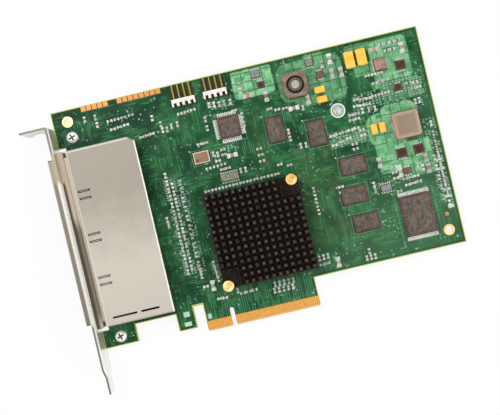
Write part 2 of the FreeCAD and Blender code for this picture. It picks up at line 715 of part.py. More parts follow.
def slant_lead(x, y, side_z, width, heading):
    """Lead sloping from a package side at x, y to the board, heading in quarter turns."""
    side = [(0, side_z + LEAD_METAL), (LEAD_REACH, LEAD_METAL), (LEAD_REACH, 0), (0, side_z)]
    lead = face_of([V(a, -width / 2, z) for a, z in side]).extrude(V(0, width, 0))
    lead.rotate(V(0, 0, 0), V(0, 0, 1), 90 * heading)
    lead.translate(V(x, y, 0))
    return lead


def quad_leads():
    x, y = QUAD_CHIP
    first = -(QUAD_LEADS_PER_SIDE - 1) / 2 * QUAD_LEAD_PITCH
    leads = []
    for i in range(QUAD_LEADS_PER_SIDE):
        along = first + i * QUAD_LEAD_PITCH
        for heading in range(4):
            angle = math.radians(90 * heading)
            out_x, out_y = round(math.cos(angle)), round(math.sin(angle))
            lead_x = x + out_x * QUAD_BODY / 2 - out_y * along
            lead_y = y + out_y * QUAD_BODY / 2 + out_x * along
            leads.append(slant_lead(lead_x, lead_y, QUAD_HEIGHT / 2, QUAD_LEAD_WIDTH, heading))
    return leads


def flash_leads():
    x, y = FLASH_CHIP
    first = x - (FLASH_LEADS_PER_END - 1) / 2 * FLASH_LEAD_PITCH
    half = FLASH_BODY[1] / 2
    leads = []
    for i in range(FLASH_LEADS_PER_END):
        along = first + i * FLASH_LEAD_PITCH
        leads.append(slant_lead(along, y + half, FLASH_HEIGHT / 2, FLASH_LEAD_WIDTH, 1))
        leads.append(slant_lead(along, y - half, FLASH_HEIGHT / 2, FLASH_LEAD_WIDTH, 3))
    return leads


def cut_corner_block(x, y, size, height, corner):
    """Square block with its upright edges cut off at an angle."""
    a, b = size / 2, size / 2 - corner
    sides = [(a, -b), (a, b), (b, a), (-b, a), (-a, b), (-a, -b), (-b, -a), (b, -a)]
    return prism([(x + px, y + py) for px, py in sides], 0, height)


def round_inductor_shield():
    x, y = ROUND_INDUCTOR
    shell = cut_corner_block(x, y, ROUND_SHIELD_SIZE, ROUND_SHIELD_HEIGHT, ROUND_SHIELD_CORNER)
    return shell.cut(post(x, y, -1, ROUND_SHIELD_HEIGHT + 1, ROUND_SHIELD_BORE))


def round_inductor_core():
    """Mushroom-shaped core with a waist for the winding."""
    x, y = ROUND_INDUCTOR
    under = ROUND_SHIELD_HEIGHT - ROUND_CORE_FLANGE
    head = post(x, y, under, ROUND_SHIELD_HEIGHT, ROUND_CORE_D)
    return head.fuse(hidden_post(x, y, 0, under, ROUND_CORE_WAIST))


def round_inductor_winding():
    x, y = ROUND_INDUCTOR
    top = ROUND_SHIELD_HEIGHT - ROUND_CORE_FLANGE
    return hidden_post(x, y, 0, top, ROUND_WINDING_D).cut(hidden_post(x, y, -1, top + 1, ROUND_CORE_WAIST))


def square_inductor():
    x, y = SQUARE_INDUCTOR
    height = SQUARE_INDUCTOR_HEIGHT
    core = cut_corner_block(x, y, SQUARE_INDUCTOR_SIZE, height, SQUARE_INDUCTOR_CORNER)
    return core.makeChamfer(SQUARE_INDUCTOR_BEVEL, edges_where(core, lambda p: near(p.z, height)))


def square_inductor_terminals():
    x, y = SQUARE_INDUCTOR
    thick, width, height = SQUARE_TERMINAL
    out = SQUARE_INDUCTOR_SIZE / 2 + thick / 2
    return [centred(x + side * out, y, 0, thick, width, height) for side in (-1, 1)]


def tantalum_bodies():
    """Moulded blocks with a bevelled top, lifted on their terminals."""
    blocks = []
    for x, y, length, width, along_y in TANTALUMS:
        size = (width, length) if along_y else (length, width)
        blocks.append(package(x, y, TANTALUM_FOOT, *size, TANTALUM_HEIGHT - TANTALUM_FOOT, TANTALUM_BEVEL))
    return blocks


def tantalum_terminals():
    """Folded end plates that turn under each block."""
    plates = []
    t, foot, rise = TANTALUM_TERMINAL, TANTALUM_FOOT, TANTALUM_HEIGHT / 2
    for x, y, length, width, along_y in TANTALUMS:
        across = width * TANTALUM_TERMINAL_SHARE
        for end in (-1, 1):
            out = length / 2
            under = out - TANTALUM_TURN_UNDER
            side = [(out + t, 0), (out + t, rise), (out, rise), (out, foot), (under, foot), (under, 0)]
            plate = face_of([V(a, -across / 2, z) for a, z in side]).extrude(V(0, across, 0))
            quarter = (1 if along_y else 0) + (0 if end > 0 else 2)
            plate.rotate(V(0, 0, 0), V(0, 0, 1), 90 * quarter)
            plate.translate(V(x, y, 0))
            plates.append(plate)
    return plates


def header_bodies():
    """Insulating bars, drilled square for their pins and notched where the pins turn down."""
    length, depth, height = HEADER_BODY
    notch_width, notch_depth = HEADER_NOTCH
    bars = []
    for x, y in HEADERS:
        bar = centred(x, y, 0, length, depth, height)
        own_pins = [px for px, _ in header_pin_places() if abs(px - x) < length / 2]
        holes = [centred(px, y, HEADER_PIN_Z - HEADER_PIN / 2, HEADER_PIN, depth + 1, HEADER_PIN)
                 for px in own_pins]
        notch_y = y - depth / 2
        notches = [centred(px, notch_y, -1, notch_width, 2 * notch_depth, height + 2) for px in own_pins]
        bars.append(bar.cut(holes + notches))
    return bars


def header_pins():
    """Square pins that lie over the board, turn down and pass through it."""
    half = HEADER_PIN / 2
    pins = []
    for x, y in header_pin_places():
        side = [(HEADER_TIP_Y, HEADER_PIN_Z - half), (HEADER_TIP_Y, HEADER_PIN_Z + half),
                (y, HEADER_PIN_Z + half), (y - half, HEADER_PIN_Z), (y - half, HEADER_TAIL_END),
                (y + half, HEADER_TAIL_END), (y + half, HEADER_PIN_Z - half)]
        pins.append(face_of([V(x - half, a, z) for a, z in side]).extrude(V(HEADER_PIN, 0, 0)))
    return pins


def chip_passive(x, y, size, along_y):
    length, width, height = size
    if along_y:
        length, width = width, length
    return centred(x, y, 0, length, width, height)


def passive_rows(rows):
    return [chip_passive(x + i * dx, y + i * dy, SMALL_CHIP_SIZE, along_y)
            for x, y, dx, dy, count, along_y in rows for i in range(count)]


def power_capacitors():
    return [chip_passive(x, y, LARGE_CHIP_SIZE, along_y) for x, y, along_y in LARGE_CAPACITORS]


def small_chips():
    return [package(x, y, 0, length, width, height) for x, y, length, width, height in SMALL_CHIPS]


def all_pieces():
    """Every node's name with its solid or list of solids."""
    pieces = {
        "circuit_board": circuit_board(),
        "edge_contacts": edge_contacts(),
        "top_edge_pads": top_edge_pads(),
        "bracket": bracket(),
        "bracket_screws": [bracket_screw(x, y) for x, y in SCREWS],
        "cage_cover": cage_cover(),
        "cage_collar": cage_collar(),
        "cage_gasket": cage_gasket(),
        "cage_floor": cage_floor(),
        "controller_chip": controller_chip(),
        "thermal_pad": thermal_pad(),
        "heat_sink": heat_sink(),
        "push_pins": [push_pin(x, y) for x, y in PUSH_PINS],
        "push_pin_springs": [push_pin_spring(x, y) for x, y in PUSH_PINS],
        "quad_chip": leaded_package(*QUAD_CHIP, QUAD_BODY, QUAD_BODY, QUAD_HEIGHT),
        "quad_leads": quad_leads(),
        "flash_chip": leaded_package(*FLASH_CHIP, *FLASH_BODY, FLASH_HEIGHT),
        "flash_leads": flash_leads(),
        "small_chips": small_chips(),
        "oscillator_base": centred(*OSCILLATOR, 0, *OSCILLATOR_BASE),
        "oscillator_lid": package(*OSCILLATOR, OSCILLATOR_BASE[2], *OSCILLATOR_LID),
        "round_inductor_shield": round_inductor_shield(),
        "round_inductor_core": round_inductor_core(),
        "round_inductor_winding": round_inductor_winding(),
        "square_inductor": square_inductor(),
        "square_inductor_terminals": square_inductor_terminals(),
        "tantalum_bodies": tantalum_bodies(),
        "tantalum_terminals": tantalum_terminals(),
        "header_bodies": header_bodies(),
        "header_pins": header_pins(),
        "chip_capacitors": passive_rows(CAPACITOR_ROWS),
        "chip_resistors": passive_rows(RESISTOR_ROWS),
        "power_capacitors": power_capacitors(),
    }
    for i, y in enumerate(divider_middles(), 1):
        pieces[f"cage_divider_{i}"] = cage_divider(y)
    for i, y in enumerate(port_middles(), 1):
        pieces[f"receptacle_{i}"] = receptacle(y)
        pieces[f"receptacle_contacts_{i}"] = receptacle_contacts(y)
    for i, (x, y, length, width) in enumerate(MEMORY_CHIPS, 1):
        pieces[f"memory_chip_{i}"] = package(x, y, 0, length, width, MEMORY_HEIGHT)
    return pieces


def main():
    os.makedirs("parts", exist_ok=True)
    for name, solids in all_pieces().items():
        shape = Part.makeCompound(solids) if isinstance(solids, list) else solids
        shape.translate(V(-KEY_X, 0, 0))
        shape.exportStep(f"parts/{name}.step")


main()
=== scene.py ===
import bmesh
import bpy
import json
import math
from mathutils import Matrix, Vector


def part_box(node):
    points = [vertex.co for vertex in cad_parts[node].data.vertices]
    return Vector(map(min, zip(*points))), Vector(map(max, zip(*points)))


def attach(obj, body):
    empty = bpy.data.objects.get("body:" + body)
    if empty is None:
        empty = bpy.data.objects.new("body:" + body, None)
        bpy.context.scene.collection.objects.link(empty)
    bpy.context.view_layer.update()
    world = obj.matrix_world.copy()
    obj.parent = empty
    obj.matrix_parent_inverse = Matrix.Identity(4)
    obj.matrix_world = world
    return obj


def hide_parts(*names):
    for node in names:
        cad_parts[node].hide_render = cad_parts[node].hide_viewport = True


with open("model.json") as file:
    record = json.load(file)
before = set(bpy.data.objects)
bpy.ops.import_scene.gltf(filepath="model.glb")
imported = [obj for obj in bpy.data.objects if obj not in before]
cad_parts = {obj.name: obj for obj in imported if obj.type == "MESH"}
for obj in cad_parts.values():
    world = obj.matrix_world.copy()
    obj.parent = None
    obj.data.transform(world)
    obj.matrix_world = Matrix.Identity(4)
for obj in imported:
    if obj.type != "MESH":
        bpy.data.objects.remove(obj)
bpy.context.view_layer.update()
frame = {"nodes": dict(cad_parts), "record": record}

# Sizes are in millimetres and places are board places: x from the bracket end of the board,
# y from the lower edge of the tongue, z from the component face. The key notch is the frame's x = 0.
MM = 0.001
KEY_X = 59.05
BOARD = (0, 12.75, 167.65, 111.15)
BOARD_TABS = [(0, 2.8, 15.4, 40), (0, 10.7, 42, 40), (34.1, 2.8, 42.4, 40), (46.9, 0, 98.2, 40)]
SOLDER_FACE = -1.57

# Camera: the photograph looks almost straight down
PHOTO_WIDTH = 500
FOCAL_PIXELS = 1008.6
SENSOR_WIDTH = 36.0
CAMERA_AIM = (77.47, 49.66, 0)
CAMERA_DISTANCE = 450.0
CAMERA_TURN = -13.35
CAMERA_LEAN = 1.37
CAMERA_LEAN_HEADING = 9.3

# Stage: lamps by place, size and power, and the white that floor and surround show
LAMPS = {
    "key": ((-140, 260, 520), 300, 1.3),
    "fill": ((320, -160, 480), 400, 0.7),
    "side": ((900, 50, 100), 300, 2.8),
}
FLOOR_Z = -3.95
FLOOR_SIZE = 6000
FLOOR_GLOW = 0.88
WORLD_LIGHT = 0.6

# Sheets and platings: dark and light colour, roughness, stretch of the grain, how metallic
PLATED = {
    "bracket_steel": ((208, 207, 203), (236, 235, 231), 0.36, 8, 0.6),
    "contact_metal": ((205, 160, 80), (240, 200, 120), 0.3),
    "pin_brass": ((206, 158, 86), (248, 214, 150), 0.3),
    "spring_steel": ((130, 128, 126), (190, 188, 186), 0.25),
    "tin_plate": ((182, 188, 180), (220, 224, 216), 0.34, 1, 0.4),
    "copper": ((62, 32, 20), (110, 62, 38), 0.35),
    "bright_tin": ((208, 212, 204), (242, 244, 238), 0.34, 1, 0.4),
    # Painted shade: the dark colour of the screws' cross recess
    "recess_steel": ((52, 54, 60), (90, 92, 98), 0.5, 1, 0.5),
}
# Mouldings and inks: dark and light colour, roughness, size of the grain, size of the blots
MOULDED = {
    "receptacle_plastic": ((20, 20, 20), (38, 38, 38), 0.45),
    "thermal_pad": ((140, 140, 144), (172, 172, 176), 0.8),
    "oscillator_ceramic": ((214, 200, 172), (240, 228, 204), 0.5),
    "tantalum_mould": ((250, 184, 34), (255, 216, 100), 0.4),
    "header_plastic": ((226, 220, 214), (250, 247, 242), 0.5),
    "white_ink": ((214, 220, 210), (246, 248, 242), 0.6),
    "worn_ink": ((112, 142, 118), (236, 238, 230), 0.6, 0.3, 1.3),
    "faded_ink": ((70, 120, 86), (168, 194, 172), 0.6, 0.18, 1.2),
}
# The same with less shine
DULL_MOULDED = {
    "chip_mould": ((70, 50, 46), (112, 84, 76), 0.5),
    "ferrite": ((112, 91, 81), (158, 133, 119), 0.6, 0.3),
    "chip_field": ((68, 58, 51), (120, 111, 99), 0.62, 0.3, 1.7, (1.2, 0.8, 1)),
    "dark_top": ((44, 22, 20), (86, 58, 50), 0.6, 0.3, 1.4),
    "brown_top": ((94, 70, 64), (130, 104, 94), 0.6, 0.3, 1.4),
    "tan_top": ((140, 104, 92), (186, 150, 134), 0.6, 0.3, 1.4),
    "grey_top": ((112, 118, 112), (158, 160, 158), 0.6, 0.3, 1.4),
    "olive_top": ((112, 118, 92), (162, 166, 138), 0.6, 0.3, 1.4),
}
CHIP_TOPS = ["chip_field", "dark_top", "brown_top", "tan_top", "grey_top", "olive_top"]
# Nodes that differ from the finish of their slot
OWN_FINISHES = {
    "cage_collar": "collar_steel",
    "round_inductor_core": "inductor_core",
    "square_inductor": "square_ferrite",
}

# Lighter copper areas under the mask: x0, y0, x1, y1, corner radius, how strongly they show
POURS = [
    (82.2, 97.5, 100.6, 110.1, 1.5, 1.0),
    (102.2, 91.0, 120.0, 108.2, 4.5, 0.54),
    (107.5, 87.6, 131.7, 108.2, 4.5, 0.54),
    (115.5, 104.0, 124.5, 110.2, 1.0, 0.65),
    (110.5, 104.0, 116.5, 108.4, 1.0, 0.75),
    (134.0, 105.5, 146.5, 109.3, 1.0, 0.55),
    (119.5, 66.5, 135.5, 73.5, 1.5, 0.42),
    (146.0, 80.8, 164.0, 90.0, 2.0, 0.38),
    (144.6, 90.5, 161.7, 109.0, 2.0, 0.85),
    (136.3, 95.0, 146.0, 100.5, 1.0, 0.6),
    (136.1, 62.5, 152.0, 77.2, 5.0, 0.9),
    (143.5, 66.0, 159.3, 80.2, 3.5, 0.9),
    (142.6, 87.8, 148.6, 91.2, 1.0, 0.6),
    (137.9, 50.3, 152.0, 67.5, 1.5, 0.9),
    (147.5, 46.5, 162.3, 62.0, 1.5, 0.9),
]
# Areas crowded with pale pads
CROWDED_AREAS = [
    (42.0, 26.5, 47.8, 70.5),
    (48.0, 24.0, 51.8, 69.0),
    (133.0, 79.5, 142.5, 87.5),
    (142.5, 79.5, 165.5, 92.0),
    (158.5, 75.5, 163.5, 80.5),
    (119.0, 66.0, 136.0, 73.8),
    (160.8, 30.0, 166.2, 70.0),
    (69.0, 95.2, 81.5, 99.6),
    (129.5, 75.5, 136.0, 80.5),
    (54.8, 21.0, 58.0, 30.0),
    (133.8, 41.5, 142.5, 47.0),
    (73.5, 76.5, 78.5, 79.5),
]
# Browner areas of dense tracks
OLIVE_AREAS = [(101.5, 26.0, 122.0, 70.0), (86.5, 64.0, 91.5, 92.0), (82.0, 64.0, 88.0, 68.0)]
# Bare pads as large as a part
LARGE_PADS = [(144.6, 50.8, 147.2, 52.8), (162.9, 33.8, 165.9, 35.0), (162.9, 36.9, 165.9, 38.1),
              (163.3, 29.0, 166.0, 30.6), (162.9, 46.4, 165.6, 47.6), (162.7, 50.4, 165.4, 51.6),
              (37.5, 8.5, 40.2, 10.8), (37.0, 4.3, 40.2, 6.2), (47.8, 5.4, 49.5, 7.6)]
# Painted shadow: dark strips on the board under the pins of the two headers
HEADER_PIN_SHADOWS = [(54.2, 100.6, 65.0, 110.9), (68.7, 100.8, 79.5, 110.9)]
CONTACT_BAND = (46.9, 0, 98.2, 4.6)
TRACK_FAN = (48.0, 4.6, 97.5, 16.5)
# Tracks and the gaps in the copper: pitch, width, length of a piece, share of pieces that are there
TRACKS = (0.8, 0.4, 6.0, 0.5)
FAN_TRACKS = (1.0, 0.5, 5.0, 0.7)
POUR_GAPS_X = (4.1, 0.42, 7.0, 0.6)
POUR_GAPS_Y = (4.7, 0.42, 6.0, 0.6)

# Chip passives too many for the solids: first x, first y, step x, step y, count, lying along y
MORE_CAPACITORS = [
    (46.0, 29.7, 0.0, 3.4, 12, True),
    (144.1, 90.6, 2.5, 0.2, 3, False),
    (160.3, 84.4, 2.4, 0.2, 2, False),
    (134.4, 85.4, 2.7, -0.3, 3, False),
    (133.7, 82.6, 2.7, -0.2, 3, False),
    (120.5, 72.1, 2.8, 0.25, 5, False),
    (120.5, 67.9, 3.4, 0.8, 3, False),
    (133.9, 69.4, 0.0, 2.4, 2, False),
    (94.8, 65.2, 4.2, -1.2, 2, False),
    (96.1, 90.4, 0.0, 0.0, 1, False),
    (110.7, 87.4, 0.0, 0.0, 1, True),
    (85.2, 103.9, 0.0, -2.6, 2, True),
    (71.7, 77.6, 0.0, -2.3, 2, False),
    (77.3, 66.6, 2.2, 0.0, 2, True),
    (156.5, 49.3, -2.2, 1.6, 2, True),
    (147.5, 46.2, 2.6, 0.1, 3, False),
    (164.3, 31.4, 0.0, -3.0, 1, True),
    (162.3, 34.4, 0.0, 4.5, 5, True),
    (164.3, 38.2, 0.0, 4.5, 5, True),
    (102.3, 20.5, 2.0, 0.1, 3, True),
    (103.0, 17.5, 2.4, 0.1, 2, False),
    (50.2, 19.8, 0.0, 0.0, 1, False),
    (80.4, 13.7, 2.1, 0.0, 5, True),
    (79.6, 11.0, 2.1, 0.0, 5, True),
    (55.9, 29.0, 0.2, -2.4, 4, True),
    (63.6, 14.8, 0.0, 0.0, 1, True),
    (55.0, 13.2, 2.4, -0.2, 2, False),
    (40.2, 52.8, 0.1, -2.7, 2, True),
    (70.3, 98.3, 2.2, -0.3, 3, True),
    (77.0, 97.8, 2.7, -0.2, 2, True),
    (80.6, 93.4, 0.0, 0.0, 1, False),
    (130.8, 79.3, 2.6, 0.1, 2, False),
    (130.4, 77.0, 2.6, 0.1, 2, False),
    (123.0, 15.7, 1.9, 0.0, 3, True),
    (51.7, 93.0, 2.8, 0.3, 2, True),
    (67.0, 76.6, 1.9, -0.6, 2, True),
    (69.6, 69.0, 2.4, 0.1, 2, False),
    (159.8, 78.6, 1.9, 0.2, 2, True),
    (49.4, 27.4, 0.0, -2.6, 2, True),
    (133.5, 46.8, 0.0, -2.6, 2, True),
    (102.0, 78.6, 0.0, -3.2, 2, True),
    (105.9, 71.2, 2.3, -0.2, 2, True),
    (119.0, 49.2, 0.0, -2.4, 2, False),
    (56.7, 97.6, 3.0, 0.2, 3, False),
    (47.5, 92.3, 2.0, -0.2, 2, True),
    (37.8, 91.4, 2.3, 0.2, 3, False),
]
MORE_RESISTORS = [
    (35.1, 102.1, 0.0, 0.0, 1, False),
    (19.5, 101.4, 0.0, 0.0, 1, True),
    (65.6, 13.3, 2.7, 0.1, 3, False),
    (150.7, 106.6, 2.5, 0.1, 4, False),
    (123.1, 104.6, 0.0, -2.6, 2, True),
    (143.9, 41.4, 0.0, 0.0, 1, False),
    (106.9, 40.6, 0.0, 3.4, 4, True),
    (87.5, 74.2, 0.0, -2.8, 3, False),
    (129.3, 66.4, 0.0, -2.2, 2, False),
    (158.7, 87.4, 3.0, -0.4, 2, False),
    (124.7, 18.5, 0.0, 0.0, 1, True),
    (67.1, 92.5, 0.0, -4.0, 2, True),
    (83.5, 90.5, 0.0, -4.0, 2, True),
    (49.6, 64.2, 0.1, 3.4, 2, True),
]
SMALL_CHIP_SIZE = (1.7, 0.9, 0.8)
MORE_LARGE_CAPACITORS = [(95.9, 96.2, 0.0, 0.0, 1, True), (110.2, 16.9, 0.0, 0.0, 1, True),
                         (53.4, 19.5, 0.0, 0.0, 1, True)]
LARGE_CHIP_SIZE = (3.2, 1.6, 1.4)
# Tinned share of a chip's length at each end
CAPACITOR_END = 0.22
RESISTOR_END = 0.16
# Chip passives with a pink body
ROSY_PARTS = [(88.0, 98.5), (19.5, 101.4)]
ROSY_REACH = 1.7
# Small packages whose top isn't dark: middle x, middle y, finish
OTHER_TOPS = [
    (148.2, 98.2, "tan_top"),
    (71.9, 65.1, "olive_top"),
    (149.4, 49.4, "brown_top"),
    (121.5, 100.0, "brown_top"),
    (138.4, 44.2, "grey_top"),
    (93.4, 106.9, "grey_top"),
    (117.8, 106.3, "grey_top"),
]

# Heat sink and cage, as the finishes need them
SINK_MIDDLE = (79.6, 38.3)
PIN_PITCH = 3.03
SINK_TOP = 11.6
CAGE_FRONT = 4.4
CAGE_REAR = 35.3

# Plated holes and through joints. Test point: x, y, radius. Cone: foot, tip, height
FREE_HOLES = [(6.8, 105.7), (161.4, 19.7)]
HOLE_RADIUS = 1.57
HOLE_RING = 2.45
PLATING = 0.04
SLEEVE = 0.02
TEST_POINT = (162.0, 26.8, 0.9)
CAGE_TAILS = [(x, 92.1) for x in (9.0, 17.0, 25.0, 30.5)] + [(9.0, 13.3)]
CAGE_TAILS += [(35.1, y) for y in (22.0, 40.0, 65.4, 83.4)]
SOLDER_CONE = (1.0, 0.42, 0.7)

# Leads, springs, screws and pins. Dimple: margin, slope, depth
LEAD_REACH = 1.05
LEAD_METAL = 0.14
LAND_PITCH = 1.0
SPRING_WIRE = 0.5
SCREW_SHANK = 1.45
SCREW_RIM = 0.5
CROSS_TURNS = (20, 110)
PIN_DIMPLE = (1.2, 0.25, 0.35)

# Radius of rounded edges
PACKAGE_ROUNDING = 0.1
BRACKET_ROUNDING = 0.06
PIN_ROUNDING = 0.3
SOFT_EDGES = {
    "tantalum_bodies": 0.2,
    "square_inductor": 0.25,
    "round_inductor_shield": 0.35,
    "header_bodies": 0.12,
    "cage_gasket": 0.35,
    "oscillator_base": 0.12,
    "oscillator_lid": 0.12,
}
# Seed of the shades that repeated parts have
SHADE_SEED = 5

# White printed marks. Ring: x, y, radius
MEMORY_CHIPS = [f"memory_chip_{number}" for number in range(1, 6)]
LEADED = ["quad_chip", "flash_chip"]
OUTLINED = MEMORY_CHIPS + LEADED + ["oscillator_base", "square_inductor", "round_inductor_shield"]
INK = 0.02
STROKE = 0.14
OUTLINE_GAP = 0.75
LEAD_ROOM = 1.0
DOT_RADIUS = 0.3
PRINTED_RING = (125.5, 82.6, 3.3)
RING_STROKE = 0.7
RING_INSET = 1.0


def linear(colour):
    """Linear colour of a screen colour from 0 to 255. Anything else stays as it is."""
    if not isinstance(colour, tuple):
        return colour
    shares = [c / 255 for c in colour]
    return (*[c / 12.92 if c <= 0.04045 else ((c + 0.055) / 1.055) ** 2.4 for c in shares], 1.0)


def at(x, y, z):
    """Point of the frame, in metres, at a board place."""
    return Vector(((x - KEY_X) * MM, y * MM, z * MM))


def board_place(point):
    """Board place, in millimetres, of a point of the frame."""
    return Vector((point.x / MM + KEY_X, point.y / MM, point.z / MM))


def node_box(node):
    """Lowest and highest corner of a node, in board millimetres."""
    return [board_place(corner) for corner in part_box(node)]


def new_object(name, data):
    """Object in the scene that shows a mesh, a lamp or a camera."""
    made = bpy.data.objects.new(name, data)
    bpy.context.collection.objects.link(made)
    return made


def evaluated_mesh(made):
    """Plain mesh of an object with its modifiers applied."""
    view = bpy.context.evaluated_depsgraph_get()
    return bpy.data.meshes.new_from_object(made.evaluated_get(view))


def operators(operation):
    """An operator of a socket and its reflected form. Both add a Math node."""
    def plain(self, other):
        return self.math(operation, self, other)

    def reflected(self, other):
        return self.math(operation, other, self)

    return plain, reflected


class Socket:
    """A node's output. Arithmetic on it adds Math nodes; & and | take the smaller and the larger."""

    def __init__(self, graph, socket):
        self.graph = graph
        self.socket = socket

    def math(self, operation, *values):
        return self.graph.node("ShaderNodeMath", {"operation": operation}, dict(enumerate(values)))

    def __abs__(self):
        return self.math("ABSOLUTE", self)

    __add__, __radd__ = operators("ADD")
    __sub__, __rsub__ = operators("SUBTRACT")
    __mul__, __rmul__ = operators("MULTIPLY")
    __truediv__, __rtruediv__ = operators("DIVIDE")
    __pow__, __rpow__ = operators("POWER")
    __mod__, __rmod__ = operators("FLOORED_MODULO")
    __and__, __rand__ = operators("MINIMUM")
    __or__, __ror__ = operators("MAXIMUM")
    __lt__, __gt__ = operators("LESS_THAN")


class Graph:
    """A node tree that nodes are added to by one method."""

    def __init__(self, tree):
        self.tree = tree

    def node(self, kind, settings=None, inputs=None, output=0):
        made = self.tree.nodes.new(kind)
        for name, value in (settings or {}).items():
            setattr(made, name, value)
        for key, value in (inputs or {}).items():
            for item in value if isinstance(value, list) else [value]:
                if isinstance(item, Socket):
                    self.tree.links.new(item.socket, made.inputs[key])
                else:
                    made.inputs[key].default_value = item
        return Socket(self, made.outputs[output])


class Finish(Graph):
    """A material whose patterns lie on Object coordinates, in board millimetres."""

    def __init__(self, name):
        self.material = bpy.data.materials.new(name)
        self.material.use_nodes = True
        super().__init__(self.material.node_tree)
        self.shader = self.tree.nodes["Principled BSDF"]
        self.place = self.node("ShaderNodeTexCoord", output="Object")
        self.x = self.axis("X") + KEY_X
        self.y = self.axis("Y")
        self.z = self.axis("Z")

    def axis(self, name):
        return self.node("ShaderNodeSeparateXYZ", None, {0: self.place}, name) * (1 / MM)

    def stretched(self, scale):
        """Object coordinates in millimetres, scaled along each axis."""
        factors = tuple(s / MM for s in scale)
        return self.node("ShaderNodeVectorMath", {"operation": "MULTIPLY"}, {0: self.place, 1: factors})

    def noise(self, size, detail=2.0, roughness=0.5, stretch=(1, 1, 1)):
        """Soft noise with blots of about the given size, from 0 to 1."""
        scale = tuple(s / size for s in stretch)
        inputs = {"Vector": self.stretched(scale), "Scale": 1.0, "Detail": detail, "Roughness": roughness}
        return self.node("ShaderNodeTexNoise", None, inputs, "Fac")

    def cells(self, size, distance, randomness):
        """Distance, in cells, from the middles of scattered cells of about the given size."""
        inputs = {"Vector": self.stretched((1 / size, 1 / size, 0)), "Scale": 1.0, "Randomness": randomness}
        return self.node("ShaderNodeTexVoronoi", {"distance": distance}, inputs, "Distance")

    def random(self, a, b):
        """Fixed random number from 0 to 1 for the whole parts of a pair of numbers."""
        pair = self.node("ShaderNodeCombineXYZ", None, {0: a, 1: b})
        whole = self.node("ShaderNodeVectorMath", {"operation": "FLOOR"}, {0: pair})
        return self.node("ShaderNodeTexWhiteNoise", {"noise_dimensions": "2D"}, {"Vector": whole}, "Value")

    def own_shade(self):
        """Number from 0 to 1 that each shape of a grown piece has for itself."""
        return self.node("ShaderNodeAttribute", {"attribute_name": "shade"}, None, "Fac")

    def mix(self, factor, low, high):
        """Colour between two colours."""
        settings = {"data_type": "RGBA", "clamp_factor": True}
        return self.node("ShaderNodeMix", settings, {0: factor, 6: linear(low), 7: linear(high)}, 2)

    def layered(self, colour, *layers):
        """Colour under layers, each given by its mask and its own colour."""
        for mask, over in layers:
            colour = self.mix(mask, colour, over)
        return colour

    def ramp(self, value, low, high):
        """0 at low, 1 at high, smooth between. It falls where low is the larger."""
        settings = {"interpolation_type": "SMOOTHSTEP"}
        return self.node("ShaderNodeMapRange", settings, {0: value, 1: low, 2: high})

    def bump(self, height, depth, strength):
        """Surface normal of a relief whose full height is depth millimetres."""
        inputs = {"Height": height, "Distance": depth * MM, "Strength": strength}
        return self.node("ShaderNodeBump", None, inputs)

    def inside(self, *boxes, radius=0.01):
        """Depth inside any of several rounded rectangles on the board, negative outside."""
        depths = []
        for x0, y0, x1, y1 in boxes:
            past_x = abs(self.x - (x0 + x1) / 2) - ((x1 - x0) / 2 - radius)
            past_y = abs(self.y - (y0 + y1) / 2) - ((y1 - y0) / 2 - radius)
            over_x, over_y = past_x | 0, past_y | 0
            corner = (over_x * over_x + over_y * over_y) ** 0.5
            depths.append(radius - corner - ((past_x | past_y) & 0))
        return any_of(depths)

    def from_axis(self, x, y):
        """Distance on the board from an upright axis, in millimetres."""
        dx, dy = self.x - x, self.y - y
        return (dx * dx + dy * dy) ** 0.5

    def rolled(self, stretch):
        """Fine grain of rolled metal, so many times finer along y than across."""
        return self.noise(0.5, 3.0, 0.6, (1, stretch, 1))

    def sheet_tone(self, lines):
        """Grain lines over large soft stains."""
        return lines * 0.25 + self.noise(9.0, 4.0, 0.6) * 0.75

    def paint(self, **sockets):
        """Sets or links the shader's sockets, named with _ for spaces."""
        for name, value in sockets.items():
            socket = self.shader.inputs[name.replace("_", " ").title().replace("Ior", "IOR")]
            if isinstance(value, Socket):
                self.tree.links.new(value.socket, socket)
            else:
                socket.default_value = linear(value)
        return self.material

    def grained(self, colour, grain, rough, spread, depth, strength, **sockets):
        """Paints a surface whose grain shows in its gloss and its relief."""
        rough = rough + spread * grain
        normal = self.bump(grain, depth, strength)
        return self.paint(base_color=colour, roughness=rough, normal=normal, **sockets)

    def metal(self, colour, grain, rough, metallic, spread=0.16):
        return self.grained(colour, grain, rough, spread, 0.01, 0.35, metallic=metallic)

    def fired(self, colour, grain, rough, specular):
        return self.grained(colour, grain, rough, 0.18, 0.02, 0.5, specular_ior_level=specular)


